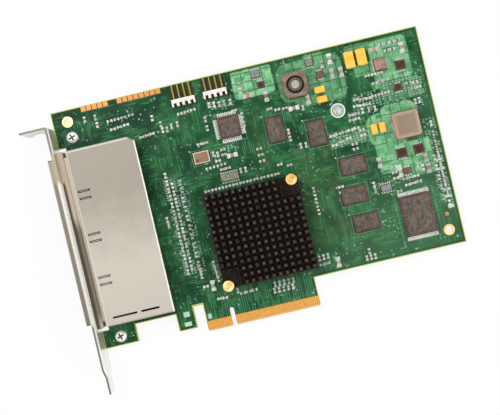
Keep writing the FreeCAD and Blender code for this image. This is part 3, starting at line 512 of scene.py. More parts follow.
class Pattern(Graph):
    """A Geometry Nodes tree, with sizes as named inputs, that grows one shape on many places."""

    def __init__(self, name, **sizes):
        super().__init__(bpy.data.node_groups.new(name, "GeometryNodeTree"))
        self.name = name
        self.sizes = sizes
        sockets = self.tree.interface
        sockets.new_socket("Places", in_out="INPUT", socket_type="NodeSocketGeometry")
        for label in sizes:
            sockets.new_socket(label, in_out="INPUT", socket_type="NodeSocketFloat")
        sockets.new_socket("Mesh", in_out="OUTPUT", socket_type="NodeSocketGeometry")
        self.entry = self.tree.nodes.new("NodeGroupInput")

    def given(self, label):
        return Socket(self, self.entry.outputs[label])

    def vector(self, x, y, z):
        return self.node("ShaderNodeCombineXYZ", None, {0: x, 1: y, 2: z})

    def box(self, x, y, z, shift=(0, 0, 0)):
        """Box of a size with its middle moved."""
        cube = self.node("GeometryNodeMeshCube", None, {"Size": self.vector(x, y, z)}, "Mesh")
        return self.node("GeometryNodeTransform", None, {"Geometry": cube, "Translation": shift})

    def joined(self, *shapes):
        return self.node("GeometryNodeJoinGeometry", None, {0: list(shapes)})

    def swept(self, curve, profile):
        inputs = {"Curve": curve, "Profile Curve": profile, "Fill Caps": True}
        return self.node("GeometryNodeCurveToMesh", None, inputs)

    def attribute(self, label):
        return self.node("GeometryNodeInputNamedAttribute", {"data_type": "FLOAT_VECTOR"}, {"Name": label})

    def finish(self, shape, material):
        """Sets the shape on every place, turned and scaled as the place says, each with its own shade."""
        inputs = {"Points": self.given("Places"), "Instance": shape,
                  "Rotation": self.attribute("turn"), "Scale": self.attribute("size")}
        laid = self.node("GeometryNodeInstanceOnPoints", None, inputs)
        chance = self.node("FunctionNodeRandomValue", {"data_type": "FLOAT"}, {"Seed": SHADE_SEED}, 1)
        settings = {"data_type": "FLOAT", "domain": "INSTANCE"}
        inputs = {"Geometry": laid, "Name": "shade", "Value": chance}
        shaded = self.node("GeometryNodeStoreNamedAttribute", settings, inputs)
        real = self.node("GeometryNodeRealizeInstances", None, {0: shaded})
        dressed = self.node("GeometryNodeSetMaterial", None, {"Geometry": real, "Material": material})
        leave = self.tree.nodes.new("NodeGroupOutput")
        self.tree.links.new(dressed.socket, leave.inputs["Mesh"])

    def grown(self, places):
        """Plain mesh of the pattern on places."""
        points = bpy.data.meshes.new(self.name)
        points.from_pydata([at(*p.spot) for p in places], [], [])
        for label in ("turn", "size"):
            layer = points.attributes.new(label, "FLOAT_VECTOR", "POINT")
            layer.data.foreach_set("vector", [c for p in places for c in getattr(p, label)])
        holder = new_object(self.name + "_places", points)
        modifier = holder.modifiers.new("pattern", "NODES")
        modifier.node_group = self.tree
        for item in self.tree.interface.items_tree:
            if item.in_out == "INPUT" and item.name in self.sizes:
                modifier[item.identifier] = self.sizes[item.name] * MM
        mesh = evaluated_mesh(holder)
        holder.modifiers.remove(modifier)
        bpy.data.objects.remove(holder)
        bpy.data.meshes.remove(points)
        mesh.name = self.name
        return mesh

    def lay(self, shape, finish, places, slot, *nodes, rounding=0):
        """Adds the piece that a shape makes on places."""
        self.finish(shape, FINISHES[finish])
        mesh = self.grown(places)
        if rounding:
            soften_mesh(mesh, rounding)
        add_piece(self.name, mesh, slot, *nodes)
        return mesh


class Place:
    """Where a pattern's shape stands: board place, turn in degrees about the upright, and scale."""

    def __init__(self, x, y, z=0.0, turn=0, size=(1, 1, 1)):
        self.spot = (x, y, z)
        self.turn = (0, 0, math.radians(turn))
        self.size = size


def any_of(masks):
    """Largest of several masks."""
    result = masks[0]
    for mask in masks[1:]:
        result = result | mask
    return result


def stripes(value, pitch, width):
    """1 on lines of a width that repeat at a pitch."""
    return abs(value % pitch - pitch / 2) < width / 2


def pad_grid(f, pitch_x, pitch_y, share):
    """Small bare pads in rows, some of them left out."""
    there = f.random(f.x / pitch_x, f.y / pitch_y) < share
    return stripes(f.x, pitch_x, pitch_x * 0.62) * stripes(f.y, pitch_y, pitch_y * 0.58) * there


def track_segments(f, across, along, pitch, width, length, share):
    """Straight tracks side by side, broken into pieces of uneven place and length."""
    lane = across / pitch
    piece = along / length + f.random(lane, 0) * 7
    return stripes(across, pitch, width) * (f.random(lane, piece) < share)


def copper_tracks(f):
    """Bundles of tracks that run along or up the board, and the fan that rises from the tongue."""
    patch = f.random(f.x / 11 + 0.3, f.y / 9)
    along_x = track_segments(f, f.y, f.x, *TRACKS) * (patch < 0.4)
    along_y = track_segments(f, f.x, f.y, *TRACKS) * (patch > 0.4)
    bundles = f.ramp(f.noise(7.0, 3.0), 0.42, 0.56)
    fan = track_segments(f, f.x, f.y, *FAN_TRACKS) * (f.inside(TRACK_FAN) > 0)
    return (along_x | along_y) * bundles | fan


def copper_pours(f):
    """Lighter copper areas, split by narrow gaps."""
    pour = any_of([f.ramp(f.inside(box, radius=radius), -0.4, 0.4) * strength
                   for *box, radius, strength in POURS])
    gaps = track_segments(f, f.y, f.x, *POUR_GAPS_X) | track_segments(f, f.x, f.y, *POUR_GAPS_Y)
    return pour * (1 - gaps * 0.75)


def solder_mask():
    """Green mask over copper tracks, pours and vias, with bare laminate along the edges."""
    f = Finish("solder_mask")
    tracks, pour = copper_tracks(f), copper_pours(f)
    # Vias and bare pads crowd together between the packages
    crowded = f.ramp(f.noise(9.0), 0.42, 0.58)
    via = f.cells(2.4, "EUCLIDEAN", 1.0)
    via_ring = (via < 0.17) * crowded
    via_hole = (via < 0.07) * crowded
    scattered = f.ramp(f.noise(2.6) + pour * 0.06, 0.56, 0.62) * (crowded | pour)
    pads = (f.cells(1.4, "CHEBYCHEV", 0.8) < 0.26) * scattered
    packed = f.ramp(f.inside(*CROWDED_AREAS, radius=0.8), -0.7, 0.7) * pad_grid(f, 1.5, 1.1, 0.62)
    olive = f.ramp(f.inside(*OLIVE_AREAS, radius=2.0), -2, 2) * f.ramp(f.noise(5.0, 3.0), 0.3, 0.7)
    # The mask is darkest at the upper corner by the bracket and palest at the opposite one
    slope = f.x - f.y
    cloud = f.noise(14.0, 4.0, 0.65) - f.ramp(slope, -40, -80) * 0.08
    # Copper areas differ in shade, block by block
    block = f.random(f.x / 2.3 + f.noise(3.0), f.y / 1.9 + f.noise(4.0))
    mint = f.mix(block * 0.6 + f.noise(0.9) * 0.4, (60, 142, 82), (158, 220, 166))
    # The mask ends short of the board's edges
    border = f.inside(BOARD, *BOARD_TABS)
    bare = f.ramp(border, 0.5, 0.2)
    rim = f.ramp(border, 0.3, 0.6) * f.ramp(border, 1.9, 0.9)
    side = f.ramp(f.z, SOLDER_FACE + 0.02, SOLDER_FACE + 0.06) * f.ramp(f.z, -0.02, -0.06)
    weave = f.noise(0.5, 2.0, stretch=(1, 1, 3))
    laminate = f.mix(weave, (164, 170, 62), (222, 222, 118))
    sawn = f.mix(weave, (146, 144, 84), (198, 192, 126))
    gold = f.mix(f.ramp(f.y + weave * 0.4, 2.2, 0.3), (204, 132, 50), (232, 186, 120))
    colour = f.layered(
        f.mix(f.ramp(cloud, 0.35, 0.66), (5, 58, 32), (35, 97, 53)),
        (olive * 0.55, (74, 98, 52)),
        (f.ramp(slope, 60, 110) * 0.3, (92, 136, 98)),
        (tracks * 0.42, (88, 158, 108)),
        (pour, mint),
        (pads * 0.7, (178, 204, 184)),
        (packed * 0.7, (164, 190, 172)),
        (f.inside(*LARGE_PADS) > 0, (190, 220, 198)),
        (via_ring * 0.6, (150, 190, 160)),
        (via_hole, (12, 40, 24)),
        # Painted shadow of the header pins
        ((f.inside(*HEADER_PIN_SHADOWS) > 0) * 0.9, (54, 54, 14)),
        (rim * 0.6, (20, 62, 18)),
        (bare | side, f.mix(side, laminate, sawn)),
        (f.inside(CONTACT_BAND) > 0, gold),
    )
    relief = (tracks | pour) * 0.6 + f.noise(0.35) * 0.4 - via_hole
    return f.paint(
        base_color=colour,
        roughness=0.36 + 0.2 * f.noise(1.2) + side * 0.25,
        specular_ior_level=0.15,
        normal=f.bump(relief, 0.035, 0.6),
    )


def plated_metal(name, dark, light, rough, stretch=1, metallic=1.0):
    """Rolled or plated sheet with faint grain and soft stains."""
    f = Finish(name)
    lines = f.rolled(stretch)
    return f.metal(f.mix(f.ramp(f.sheet_tone(lines), 0.25, 0.75), dark, light), lines, rough, metallic)


def cage_steel():
    """Satin sheet with painted light: greyer towards the upper end, with painted highlights along its
    bends. Polished on its rear wall.
    """
    f = Finish("cage_steel")
    high = node_box("cage_cover")[1]
    lines = f.rolled(5)
    # Stains, and painted light that greys the sheet towards the upper end
    tone = f.sheet_tone(lines) * 0.35 + f.ramp(f.y, 95, 12) * 0.65
    colour = f.mix(f.ramp(tone, 0.25, 0.75), (143, 137, 126), (182, 175, 164))
    wall = (f.x > CAGE_REAR - 0.2) * f.ramp(f.z, high.z - 0.7, high.z - 1.2)
    # Painted highlights along the front bend, the upper bend and the rear edge, none on the polished rear
    # wall
    front = f.ramp(f.x, CAGE_FRONT + 1.0, CAGE_FRONT + 0.2) * (f.x > CAGE_FRONT - 0.5)
    upper = f.ramp(f.y, high.y - 1.3, high.y - 0.6) * 0.45
    bright = f.ramp(f.x, CAGE_REAR - 0.8, CAGE_REAR - 0.3) | front | upper
    colour = f.mix(bright * (1 - wall) * 0.85, colour, (236, 233, 226))
    return f.metal(colour, lines, 0.42 - wall * 0.28, 0.7 + wall * 0.3)


def port_end(f):
    """1 on the beige stretch at the upper end of the ports."""
    return f.ramp(f.y, 78, 81) * f.ramp(f.y, 93, 91.5)


def gap_colour_and_painted_light(f):
    """Gap between bracket and cage: beige at the upper end; below, a painted highlight and a painted shadow
    wedge.
    """
    beige = f.mix(f.noise(0.4, 3.0), (154, 142, 122), (190, 177, 156))
    widened = f.ramp(f.y, 64, 56)
    # Painted shade: brown where the gap widens towards the cage
    brown = widened * f.ramp(f.x, 4.6, 3.0) * f.ramp(f.y, 13, 21)
    # Painted shadow: a dark wedge beside the bracket that widens downwards
    dark = f.ramp(f.x - widened * 0.5, 2.0, 1.0)
    # Painted highlight: a bright lip along the bracket
    lip = f.ramp(f.x, 0.6, 0.0)
    below = f.layered(beige, (brown, (110, 102, 87)), (dark, (64, 56, 45)), (lip, (234, 230, 220)))
    return f.mix(f.ramp(f.y, 80, 77.5), beige, below)


def collar_steel():
    """Dull sheet, grey on the nose outside the bracket, with the painted shadow and painted highlight of
    the gap behind it.
    """
    f = Finish("collar_steel")
    lines = f.rolled(6)
    nose = f.mix(f.ramp(abs(f.x + 3.0), 0.2, 1.0) * 0.7 + lines * 0.3, (112, 106, 94), (146, 141, 128))
    upper = port_end(f) * (f.z > 8) * 0.5
    # Behind the bracket the collar carries the painted shadow and highlight of the gap
    colour = f.layered(nose, (upper, (168, 156, 134)), (f.x > -0.5, gap_colour_and_painted_light(f)))
    return f.metal(colour, lines, 0.4, 0.5)


def sheared_edge():
    """Bracket edge: a painted highlight makes it pale where it lies along the ports; dull at both ends."""
    f = Finish("sheared_edge")
    lines = f.rolled(6)
    dull = f.mix(lines, (94, 88, 80), (142, 135, 124))
    # Painted highlight along the ports
    painted_edge_highlight = f.ramp(f.y, 14, 17) * f.ramp(f.y, 84, 78)
    colour = f.layered(dull, (painted_edge_highlight, (218, 214, 203)), (port_end(f), (166, 152, 130)))
    return f.metal(colour, lines, 0.4, 0.3)


def inner_steel():
    """Inner face of the bracket: bright plate, with a matt pale painted highlight along its edge, beige at
    the upper end of the ports.
    """
    f = Finish("inner_steel")
    lines = f.rolled(8)
    # Painted highlight: matt and pale along the upper edge
    edge = f.ramp(f.z, 10.4, 11.2)
    steel = f.mix(f.sheet_tone(lines), (226, 225, 221), (244, 243, 239))
    colour = f.layered(steel, (edge, (250, 248, 242)), (port_end(f) * edge, (208, 194, 168)))
    return f.metal(colour, lines, 0.24 + edge * 0.2, 0.75 - edge * 0.65, 0.1)


def gold_plate():
    """Hard gold on the tongue, browner on the upper pads and olive on the header pins."""
    f = Finish("gold_plate")
    worn = f.noise(1.5, 3.0)
    tongue = f.mix(worn, (196, 142, 59), (224, 177, 96))
    pads = f.mix(worn, (153, 100, 52), (193, 138, 84))
    pins = f.mix(f.y < 103, f.mix(worn, (108, 98, 52), (146, 134, 78)), (58, 42, 22))
    return f.paint(
        base_color=f.mix(f.y > 20, tongue, f.mix(f.z > 0.3, pads, pins)),
        metallic=0.85,
        roughness=0.3 + 0.2 * worn,
        normal=f.bump(f.noise(0.4), 0.008, 0.3),
    )


def moulded(name, dark, light, rough, grain=0.18, blot=3.0, stretch=(1, 1, 1), specular=0.4):
    """Moulded resin or fired ceramic with a fine grain and faint blots."""
    f = Finish(name)
    speckle = f.noise(grain)
    tone = f.noise(blot, 3.0, 0.6, stretch) * 0.6 + speckle * 0.4
    return f.fired(f.mix(f.ramp(tone, 0.32, 0.68), dark, light), speckle, rough, specular)


def small_part(name, dark, light, rough):
    """Fired body of a chip passive, lighter or darker from piece to piece."""
    f = Finish(name)
    speckle = f.noise(0.18)
    body = f.mix(f.own_shade() * 0.85 + speckle * 0.15, dark, light)
    rosy = any_of([f.from_axis(x, y) < ROSY_REACH for x, y in ROSY_PARTS])
    return f.fired(f.mix(rosy, body, (214, 122, 112)), speckle, rough, 0.3)


def soldered_tin():
    """Soldered ends of the chip passives, from dull to bright."""
    f = Finish("soldered_tin")
    grain = f.noise(0.3, 3.0)
    bright = f.own_shade() * 7.3 % 1
    colour = f.mix(bright * 0.85 + grain * 0.15, (146, 160, 148), (230, 234, 226))
    return f.metal(colour, grain, 0.36, 0.3)


def sink_black():
    """Brown-black anodised metal, with a painted highlight in a small spot on top of each pin."""
    f = Finish("sink_black")
    past_x = abs((f.x - SINK_MIDDLE[0]) % PIN_PITCH - PIN_PITCH / 2)
    past_y = abs((f.y - SINK_MIDDLE[1]) % PIN_PITCH - PIN_PITCH / 2)
    spot = f.ramp(past_x | past_y, 0.5, 0.2)
    top = f.ramp(f.z, SINK_TOP - 0.3, SINK_TOP - 0.05)
    # Painted highlight on top of each pin
    painted_pin_highlight = top * spot * f.ramp(f.noise(2.4), 0.34, 0.6)
    grain = f.noise(0.25, 3.0)
    worn = f.ramp(f.noise(0.8), 0.5, 0.62)
    colour = f.mix(f.noise(4.0) * 0.4 + worn * 0.6, (24, 17, 12), (56, 43, 35))
    colour = f.mix(painted_pin_highlight * 0.7, colour, (120, 107, 98))
    return f.grained(colour, grain, 0.55, 0.2, 0.02, 0.5, metallic=0.2, specular_ior_level=0.2)


def gasket_cloth():
    """Metal cloth over a soft core, with the painted shadow and painted highlight of the gap that it fills.
    """
    f = Finish("gasket")
    weave = stripes(f.y, 0.5, 0.25) * 0.5 + stripes(f.x, 0.5, 0.25) * 0.5
    grain = f.noise(0.4, 3.0)
    return f.paint(
        # Painted shadow and highlight of the gap
        base_color=gap_colour_and_painted_light(f),
        metallic=0.3,
        roughness=0.5 + 0.2 * grain,
        normal=f.bump(weave * 0.5 + grain * 0.5, 0.02, 0.4),
    )


def oscillator_metal():
    """Reddish metal lid with a dark spot by its first pad."""
    f = Finish("oscillator_metal")
    low = node_box("oscillator_lid")[0]
    grain = f.noise(0.5, 3.0)
    lid = f.mix(grain, (116, 88, 68), (154, 121, 97))
    spot = f.ramp(f.from_axis(low.x + 1.0, low.y + 1.0), 0.9, 0.5)
    return f.metal(f.mix(spot * 0.85, lid, (124, 44, 38)), grain, 0.4, 0.3)


def inductor_core():
    """Wound core: brown lacquered rim round a bare grey middle."""
    f = Finish("inductor_core")
    low, high = node_box("round_inductor_core")
    radius = f.from_axis((low.x + high.x) / 2, (low.y + high.y) / 2)
    grain = f.noise(0.3, 3.0)
    rim = f.mix(grain, (78, 58, 52), (104, 82, 74))
    middle = f.mix(f.noise(1.2), (120, 118, 104), (206, 208, 196))
    colour = f.mix(f.ramp(radius + grain * 0.3, 1.7, 2.2), middle, rim)
    return f.grained(colour, grain, 0.5, 0.2, 0.03, 0.5)


def square_ferrite():
    """Pressed ferrite block, pinker and paler round its rim than in the middle."""
    f = Finish("square_ferrite")
    low, high = node_box("square_inductor")
    grain = f.noise(0.35, 3.0)
    blot = f.noise(3.0, 3.0)
    middle = f.mix(grain * 0.5 + blot * 0.5, (128, 112, 92), (170, 150, 128))
    rim = f.mix(grain, (168, 136, 116), (200, 170, 150))
    deep = f.ramp(f.inside((low.x, low.y, high.x, high.y)) + blot, 1.2, 2.6)
    return f.fired(f.mix(deep, rim, middle), grain, 0.6, 0.25)


def seen_rays(graph):
    """1 for rays from the camera and for what metal and glass show."""
    kinds = ("Is Camera Ray", "Is Glossy Ray", "Is Transmission Ray")
    return any_of([graph.node("ShaderNodeLightPath", output=kind) for kind in kinds])


def floor_white():
    """White paper that stays white to the camera and keeps the card's shadow."""
    f = Finish("floor_white")
    f.paint(base_color=(250, 250, 250), roughness=0.9)
    white = f.node("ShaderNodeEmission", None, {"Color": (1, 1, 1, 1), "Strength": 1.0})
    body = Socket(f, f.shader.outputs[0])
    both = f.node("ShaderNodeMixShader", None, {0: seen_rays(f) * FLOOR_GLOW, 1: body, 2: white})
    f.tree.links.new(both.socket, f.tree.nodes["Material Output"].inputs["Surface"])
    return f.material


FINISHES = {
    "solder_mask": solder_mask(),
    "gold_plate": gold_plate(),
    "cage_steel": cage_steel(),
    "collar_steel": collar_steel(),
    "sheared_edge": sheared_edge(),
    "inner_steel": inner_steel(),
    "gasket": gasket_cloth(),
    "sink_black": sink_black(),
    "soldered_tin": soldered_tin(),
    "oscillator_metal": oscillator_metal(),
    "inductor_core": inductor_core(),
    "square_ferrite": square_ferrite(),
    "capacitor_ceramic": small_part("capacitor_ceramic", (112, 86, 74), (204, 186, 168), 0.5),
    "resistor_glaze": small_part("resistor_glaze", (58, 40, 36), (146, 116, 106), 0.3),
}
FINISHES.update({name: plated_metal(name, *look) for name, look in PLATED.items()})
FINISHES.update({name: moulded(name, *look) for name, look in MOULDED.items()})
FINISHES.update({name: moulded(name, *look, specular=0.25) for name, look in DULL_MOULDED.items()})
SLOTS = {part["node"]: part["material_slot"] for part in frame["record"]["subparts"]}


def finish_of(node):
    """Name of a node's own finish, or of its material slot."""
    return OWN_FINISHES.get(node, SLOTS[node])


def dress_nodes():
    """Gives every solid of the frame its finish."""
    for node in SLOTS:
        mesh = frame["nodes"][node].data
        mesh.materials.clear()
        mesh.materials.append(FINISHES[finish_of(node)])


def add_piece(name, mesh, slot, *nodes):
    """Puts a finished mesh on the card, in the place of the solids that it stands for."""
    piece = new_object(name, mesh)
    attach(piece, "root")
    if nodes:
        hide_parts(*nodes)


def merged(node):
    """Copy of a solid's mesh with its loose triangles joined into flat faces."""
    bm = bmesh.new()
    bm.from_mesh(frame["nodes"][node].data)
    bmesh.ops.remove_doubles(bm, verts=bm.verts, dist=1e-6)
    bmesh.ops.dissolve_limit(bm, angle_limit=math.radians(1), verts=bm.verts, edges=bm.edges)
    return bm


def round_edges(bm, width, segments=2, least=25):
    """Rounds the outer edges that turn by more than an angle."""
    edges = [e for e in bm.edges if len(e.link_faces) == 2 and e.is_convex
             and e.calc_face_angle() > math.radians(least)]
    bmesh.ops.bevel(bm, geom=edges, offset=width * MM, segments=segments, profile=0.5,
                    affect="EDGES", clamp_overlap=True)


def plain_mesh(bm, name, *finishes):
    """Mesh of a bmesh, smooth on its curves and flat on its flats, with its finishes."""
    mesh = bpy.data.meshes.new(name)
    bm.to_mesh(mesh)
    bm.free()
    mesh.shade_smooth()
    mesh.set_sharp_from_angle(angle=math.radians(20))
    for finish in finishes:
        mesh.materials.append(FINISHES[finish])
    return mesh


def solids(node):
    """Lowest and highest corner, in board millimetres, of each separate solid of a node."""
    bm = merged(node)
    left = set(bm.verts)
    boxes = []
    while left:
        front = [left.pop()]
        group = []
        while front:
            vertex = front.pop()
            group.append(board_place(vertex.co))
            near = {e.other_vert(vertex) for e in vertex.link_edges} & left
            left -= near
            front += near
        boxes.append(tuple(Vector(pick(v[i] for v in group) for i in range(3)) for pick in (min, max)))
    bm.free()
    return sorted(boxes, key=lambda box: tuple(box[0]))


def middles(boxes):
    """Middle x and y of boxes."""
    return [((low.x + high.x) / 2, (low.y + high.y) / 2) for low, high in boxes]


def lathe(name, profile, spots, finish, steps=40):
    """Mesh turned from radius and height pairs about the upright axis of each spot."""
    bm = bmesh.new()
    for x, y in spots:
        rings = []
        for step in range(steps):
            angle = 2 * math.pi * step / steps
            c, s = math.cos(angle), math.sin(angle)
            rings.append([bm.verts.new(at(x + r * c, y + r * s, z)) for r, z in profile])
        for a, b in zip(rings, rings[1:] + rings[:1]):
            for i in range(len(profile) - 1):
                bm.faces.new((a[i], b[i], b[i + 1], a[i + 1]))
    bmesh.ops.remove_doubles(bm, verts=bm.verts, dist=1e-7)
    bmesh.ops.recalc_face_normals(bm, faces=bm.faces)
    return plain_mesh(bm, name, finish)


def turned(name, slot, profile, spots, steps=40, finish=None):
    """Adds the piece that a profile makes on spots."""
    add_piece(name, lathe(name, profile, spots, finish or slot, steps), slot)


def disc(radius, height):
    """Profile of a flat disc that lies on the board."""
    return [(0, height), (radius, height), (radius, 0), (0, 0)]


def soft_edged(node, width):
    """Copy of a solid with rounded edges, in its place."""
    bm = merged(node)
    round_edges(bm, width)
    mesh = plain_mesh(bm, node + "_finished", finish_of(node))
    add_piece(node + "_finished", mesh, SLOTS[node], node)


def marked_chip(node, margin, top="chip_field"):
    """Package, or several, with a blank field on its top."""
    bm = merged(node)
    round_edges(bm, PACKAGE_ROUNDING)
    least = (4 * margin * MM) ** 2
    tops = [face for face in bm.faces if face.normal.z > 0.99 and face.calc_area() > least]
    bmesh.ops.inset_individual(bm, faces=tops, thickness=margin * MM)
    for face in tops:
        spot = board_place(face.calc_center_median())
        own = [name for x, y, name in OTHER_TOPS if math.dist(spot.xy, (x, y)) < 1]
        whole_top = [near for edge in face.edges for near in edge.link_faces]
        for shown in whole_top if own else [face]:
            shown.material_index = 1 + CHIP_TOPS.index(own[0] if own else top)
    mesh = plain_mesh(bm, node + "_finished", "chip_mould", *CHIP_TOPS)
    add_piece(node + "_finished", mesh, "chip_mould", node)


def row_places(rows, size):
    """Places of the chips of rows given as first x, first y, step x, step y, count, along y."""
    return [Place(x + i * dx, y + i * dy, 0, 90 if along_y else 0, size)
            for x, y, dx, dy, count, along_y in rows for i in range(count)]


def solid_places(node):
    """Places of a node's box-shaped solids, long side first."""
    places = []
    for low, high in solids(node):
        middle, size = (low + high) / 2, high - low
        along_y = size.y > size.x
        long_first = (size.y, size.x, size.z) if along_y else tuple(size)
        places.append(Place(middle.x, middle.y, low.z, 90 if along_y else 0, long_first))
    return places


def soften_mesh(mesh, width):
    """Rounds the edges of a grown mesh."""
    bm = bmesh.new()
    bm.from_mesh(mesh)
    round_edges(bm, width, segments=1)
    bm.to_mesh(mesh)
    bm.free()


def chip_passives(name, node, more, size, end):
    """Chip capacitors or resistors: bodies between two tinned ends, standing on solder."""
    places = solid_places(node) + row_places(more, size)
    slot = SLOTS[node]
    body = Pattern(name, End=end - 0.01)
    length = 1 - body.given("End") * (1 / MM) * 2
    block = body.box(length * MM, 0.9 * MM, 0.94 * MM, (0, 0, 0.49 * MM))
    body.lay(block, slot, places, slot, node, rounding=0.05)
    ends = Pattern(name + "_ends", End=end)
    share = ends.given("End")
    shift = (MM - share) / 2
    caps = [ends.box(share, MM, MM, ends.vector(side * shift, 0, 0.5 * MM)) for side in (-1, 1)]
    ends.lay(ends.joined(*caps), "soldered_tin", places, "tin_plate", rounding=0.06)
    pads = Pattern(name + "_pads", Length=0.5)
    reach = pads.given("Length")
    feet = [pads.box(reach, 1.3 * MM, 0.05 * MM, (side * 0.5 * MM, 0, 0.02 * MM)) for side in (-1, 1)]
    pads.lay(pads.joined(*feet), "soldered_tin", places, "tin_plate")


def side_place(middle, size, shift, side, on_x):
    """Place on the side of a package that faces along x or y, turned to point outwards."""
    if on_x:
        return Place(middle.x + side * size.x / 2, middle.y + shift, 0, 90 - side * 90)
    return Place(middle.x + shift, middle.y + side * size.y / 2, 0, side * 90)


def lead_places(node, package):
    """Where each lead leaves its package."""
    low, high = node_box(package)
    middle, size = (low + high) / 2, high - low
    places = []
    for a, b in solids(node):
        spot = (a + b) / 2 - middle
        on_x = abs(spot.x) / size.x > abs(spot.y) / size.y
        out, shift = (spot.x, spot.y) if on_x else (spot.y, spot.x)
        places.append(side_place(middle, size, shift, math.copysign(1, out), on_x))
    return places


def small_chip_places():
    """Places of the lands along the two long sides of each small package."""
    places = []
    for low, high in solids("small_chips"):
        middle, size = (low + high) / 2, high - low
        count = max(2, int(max(size.x, size.y) / LAND_PITCH))
        for i in range(count):
            shift = (i - (count - 1) / 2) * LAND_PITCH
            places += [side_place(middle, size, shift, side, size.y > size.x) for side in (-1, 1)]
    return places


def gull_wing_leads(name, node, package, rise, width):
    """Leads that leave the package level, turn down and end in a flat foot."""
    lead = Pattern(name, Rise=rise, Width=width, Reach=LEAD_REACH, Metal=LEAD_METAL)
    high, out, thick = lead.given("Rise"), lead.given("Reach"), lead.given("Metal")
    foot = thick * 0.5
    inputs = {"Resolution": 10, "Start": lead.vector(out * -0.1, 0, high),
              "Start Handle": lead.vector(out * 0.75, 0, high),
              "End Handle": lead.vector(out * 0.2, 0, foot), "End": lead.vector(out, 0, foot)}
    path = lead.node("GeometryNodeCurvePrimitiveBezierSegment", {"mode": "POSITION"}, inputs)
    inputs = {"Width": lead.given("Width"), "Height": thick}
    strip = lead.node("GeometryNodeCurvePrimitiveQuadrilateral", {"mode": "RECTANGLE"}, inputs)
    lead.lay(lead.swept(path, strip), "bright_tin", lead_places(node, package), "tin_plate", node)


def lands(name, places, width, length):
    """Tinned lands on the board, one from each place outwards."""
    land = Pattern(name, Width=width, Length=length, Height=PLATING)
    reach, high = land.given("Length"), land.given("Height")
    shift = land.vector(reach * 0.5, 0, high * 0.5)
    land.lay(land.box(reach, land.given("Width"), high, shift), "tin_plate", places, "tin_plate")


def push_pin_coils():
    """Round wire coils between the sink and the heads of its pins."""
    boxes = solids("push_pin_springs")
    low, high = boxes[0]
    wire = SPRING_WIRE
    radius, height = (high.x - low.x - wire) / 2, high.z - low.z - wire
    coil = Pattern("push_pin_coils", Radius=radius, Height=height, Wire=wire / 2)
    inputs = {"Resolution": 28, "Rotations": 4.0, "Start Radius": coil.given("Radius"),
              "End Radius": coil.given("Radius"), "Height": coil.given("Height")}
    path = coil.node("GeometryNodeCurveSpiral", None, inputs)
    circle = coil.node("GeometryNodeCurvePrimitiveCircle", {"mode": "RADIUS"},
                       {"Resolution": 10, "Radius": coil.given("Wire")})
    places = [Place(x, y, low.z + wire / 2) for x, y in middles(boxes)]
    mesh = coil.lay(coil.swept(path, circle), "spring_steel", places, "spring_steel", "push_pin_springs")
    mesh.shade_smooth()


def bracket_screw_heads():
    """Pan-head screws with a cross recess."""
    name = "bracket_screws_finished"
    boxes = solids("bracket_screws")
    spots = middles(boxes)
    low, high = boxes[0]
    rim, top, shank = (high.x - low.x) / 2, high.z, SCREW_SHANK
    dome = [(rim * math.cos(t) ** 0.6, SCREW_RIM + (top - SCREW_RIM) * math.sin(t))
            for t in (math.radians(a) for a in range(0, 90, 9))]
    tip = [(0, low.z), (shank - 0.2, low.z), (shank, low.z + 0.3), (shank, 0)]
    profile = tip + [(rim, 0)] + dome + [(0, top)]
    screws = new_object(name, lathe(name, profile, spots, "bracket_steel"))
    cross = Pattern("recess", Arm=3.0, Width=0.75, Depth=1.6)
    arm, width, depth = (cross.given(label) for label in ("Arm", "Width", "Depth"))
    # The cross recess takes a dark painted shade
    cross.finish(cross.box(arm, width, depth), FINISHES["recess_steel"])
    places = [Place(x, y, top, turn) for x, y in spots for turn in CROSS_TURNS]
    cutter = new_object("recess", cross.grown(places))
    cut = screws.modifiers.new("recess", "BOOLEAN")
    cut.object = cutter
    cut.solver = "EXACT"
    cut.use_self = True
    cut.material_mode = "TRANSFER"
    mesh = evaluated_mesh(screws)
    for used in (screws, cutter):
        bpy.data.objects.remove(used)
    add_piece(name, mesh, "bracket_steel", "bracket_screws")


def plated_holes():
    """Gilded rings and sleeves of the two free holes, and a round test point."""
    inner, outer, wall = HOLE_RADIUS, HOLE_RING, HOLE_RADIUS + SLEEVE
    top, bottom = PLATING, SOLDER_FACE - PLATING
    sleeve = [(inner, bottom), (outer, bottom), (outer, SOLDER_FACE), (wall, SOLDER_FACE),
              (wall, 0), (outer, 0), (outer, top), (inner, top), (inner, bottom)]
    turned("hole_rings", "pin_brass", sleeve, FREE_HOLES)
    x, y, radius = TEST_POINT
    turned("test_point", "gold_plate", disc(radius, top), [(x, y)])


def solder_joints():
    """Cones of solder round the tails that come through the board."""
    pins = [((a.x + b.x) / 2, a.y + (b.x - a.x) / 2) for a, b in solids("header_pins")]
    foot, tip, height = SOLDER_CONE
    profile = [(0, SOLDER_FACE), (foot, SOLDER_FACE), (foot * 0.7, SOLDER_FACE - height * 0.35),
               (tip, SOLDER_FACE - height), (0, SOLDER_FACE - height)]
    turned("solder_joints", "tin_plate", profile, pins + CAGE_TAILS, 16)


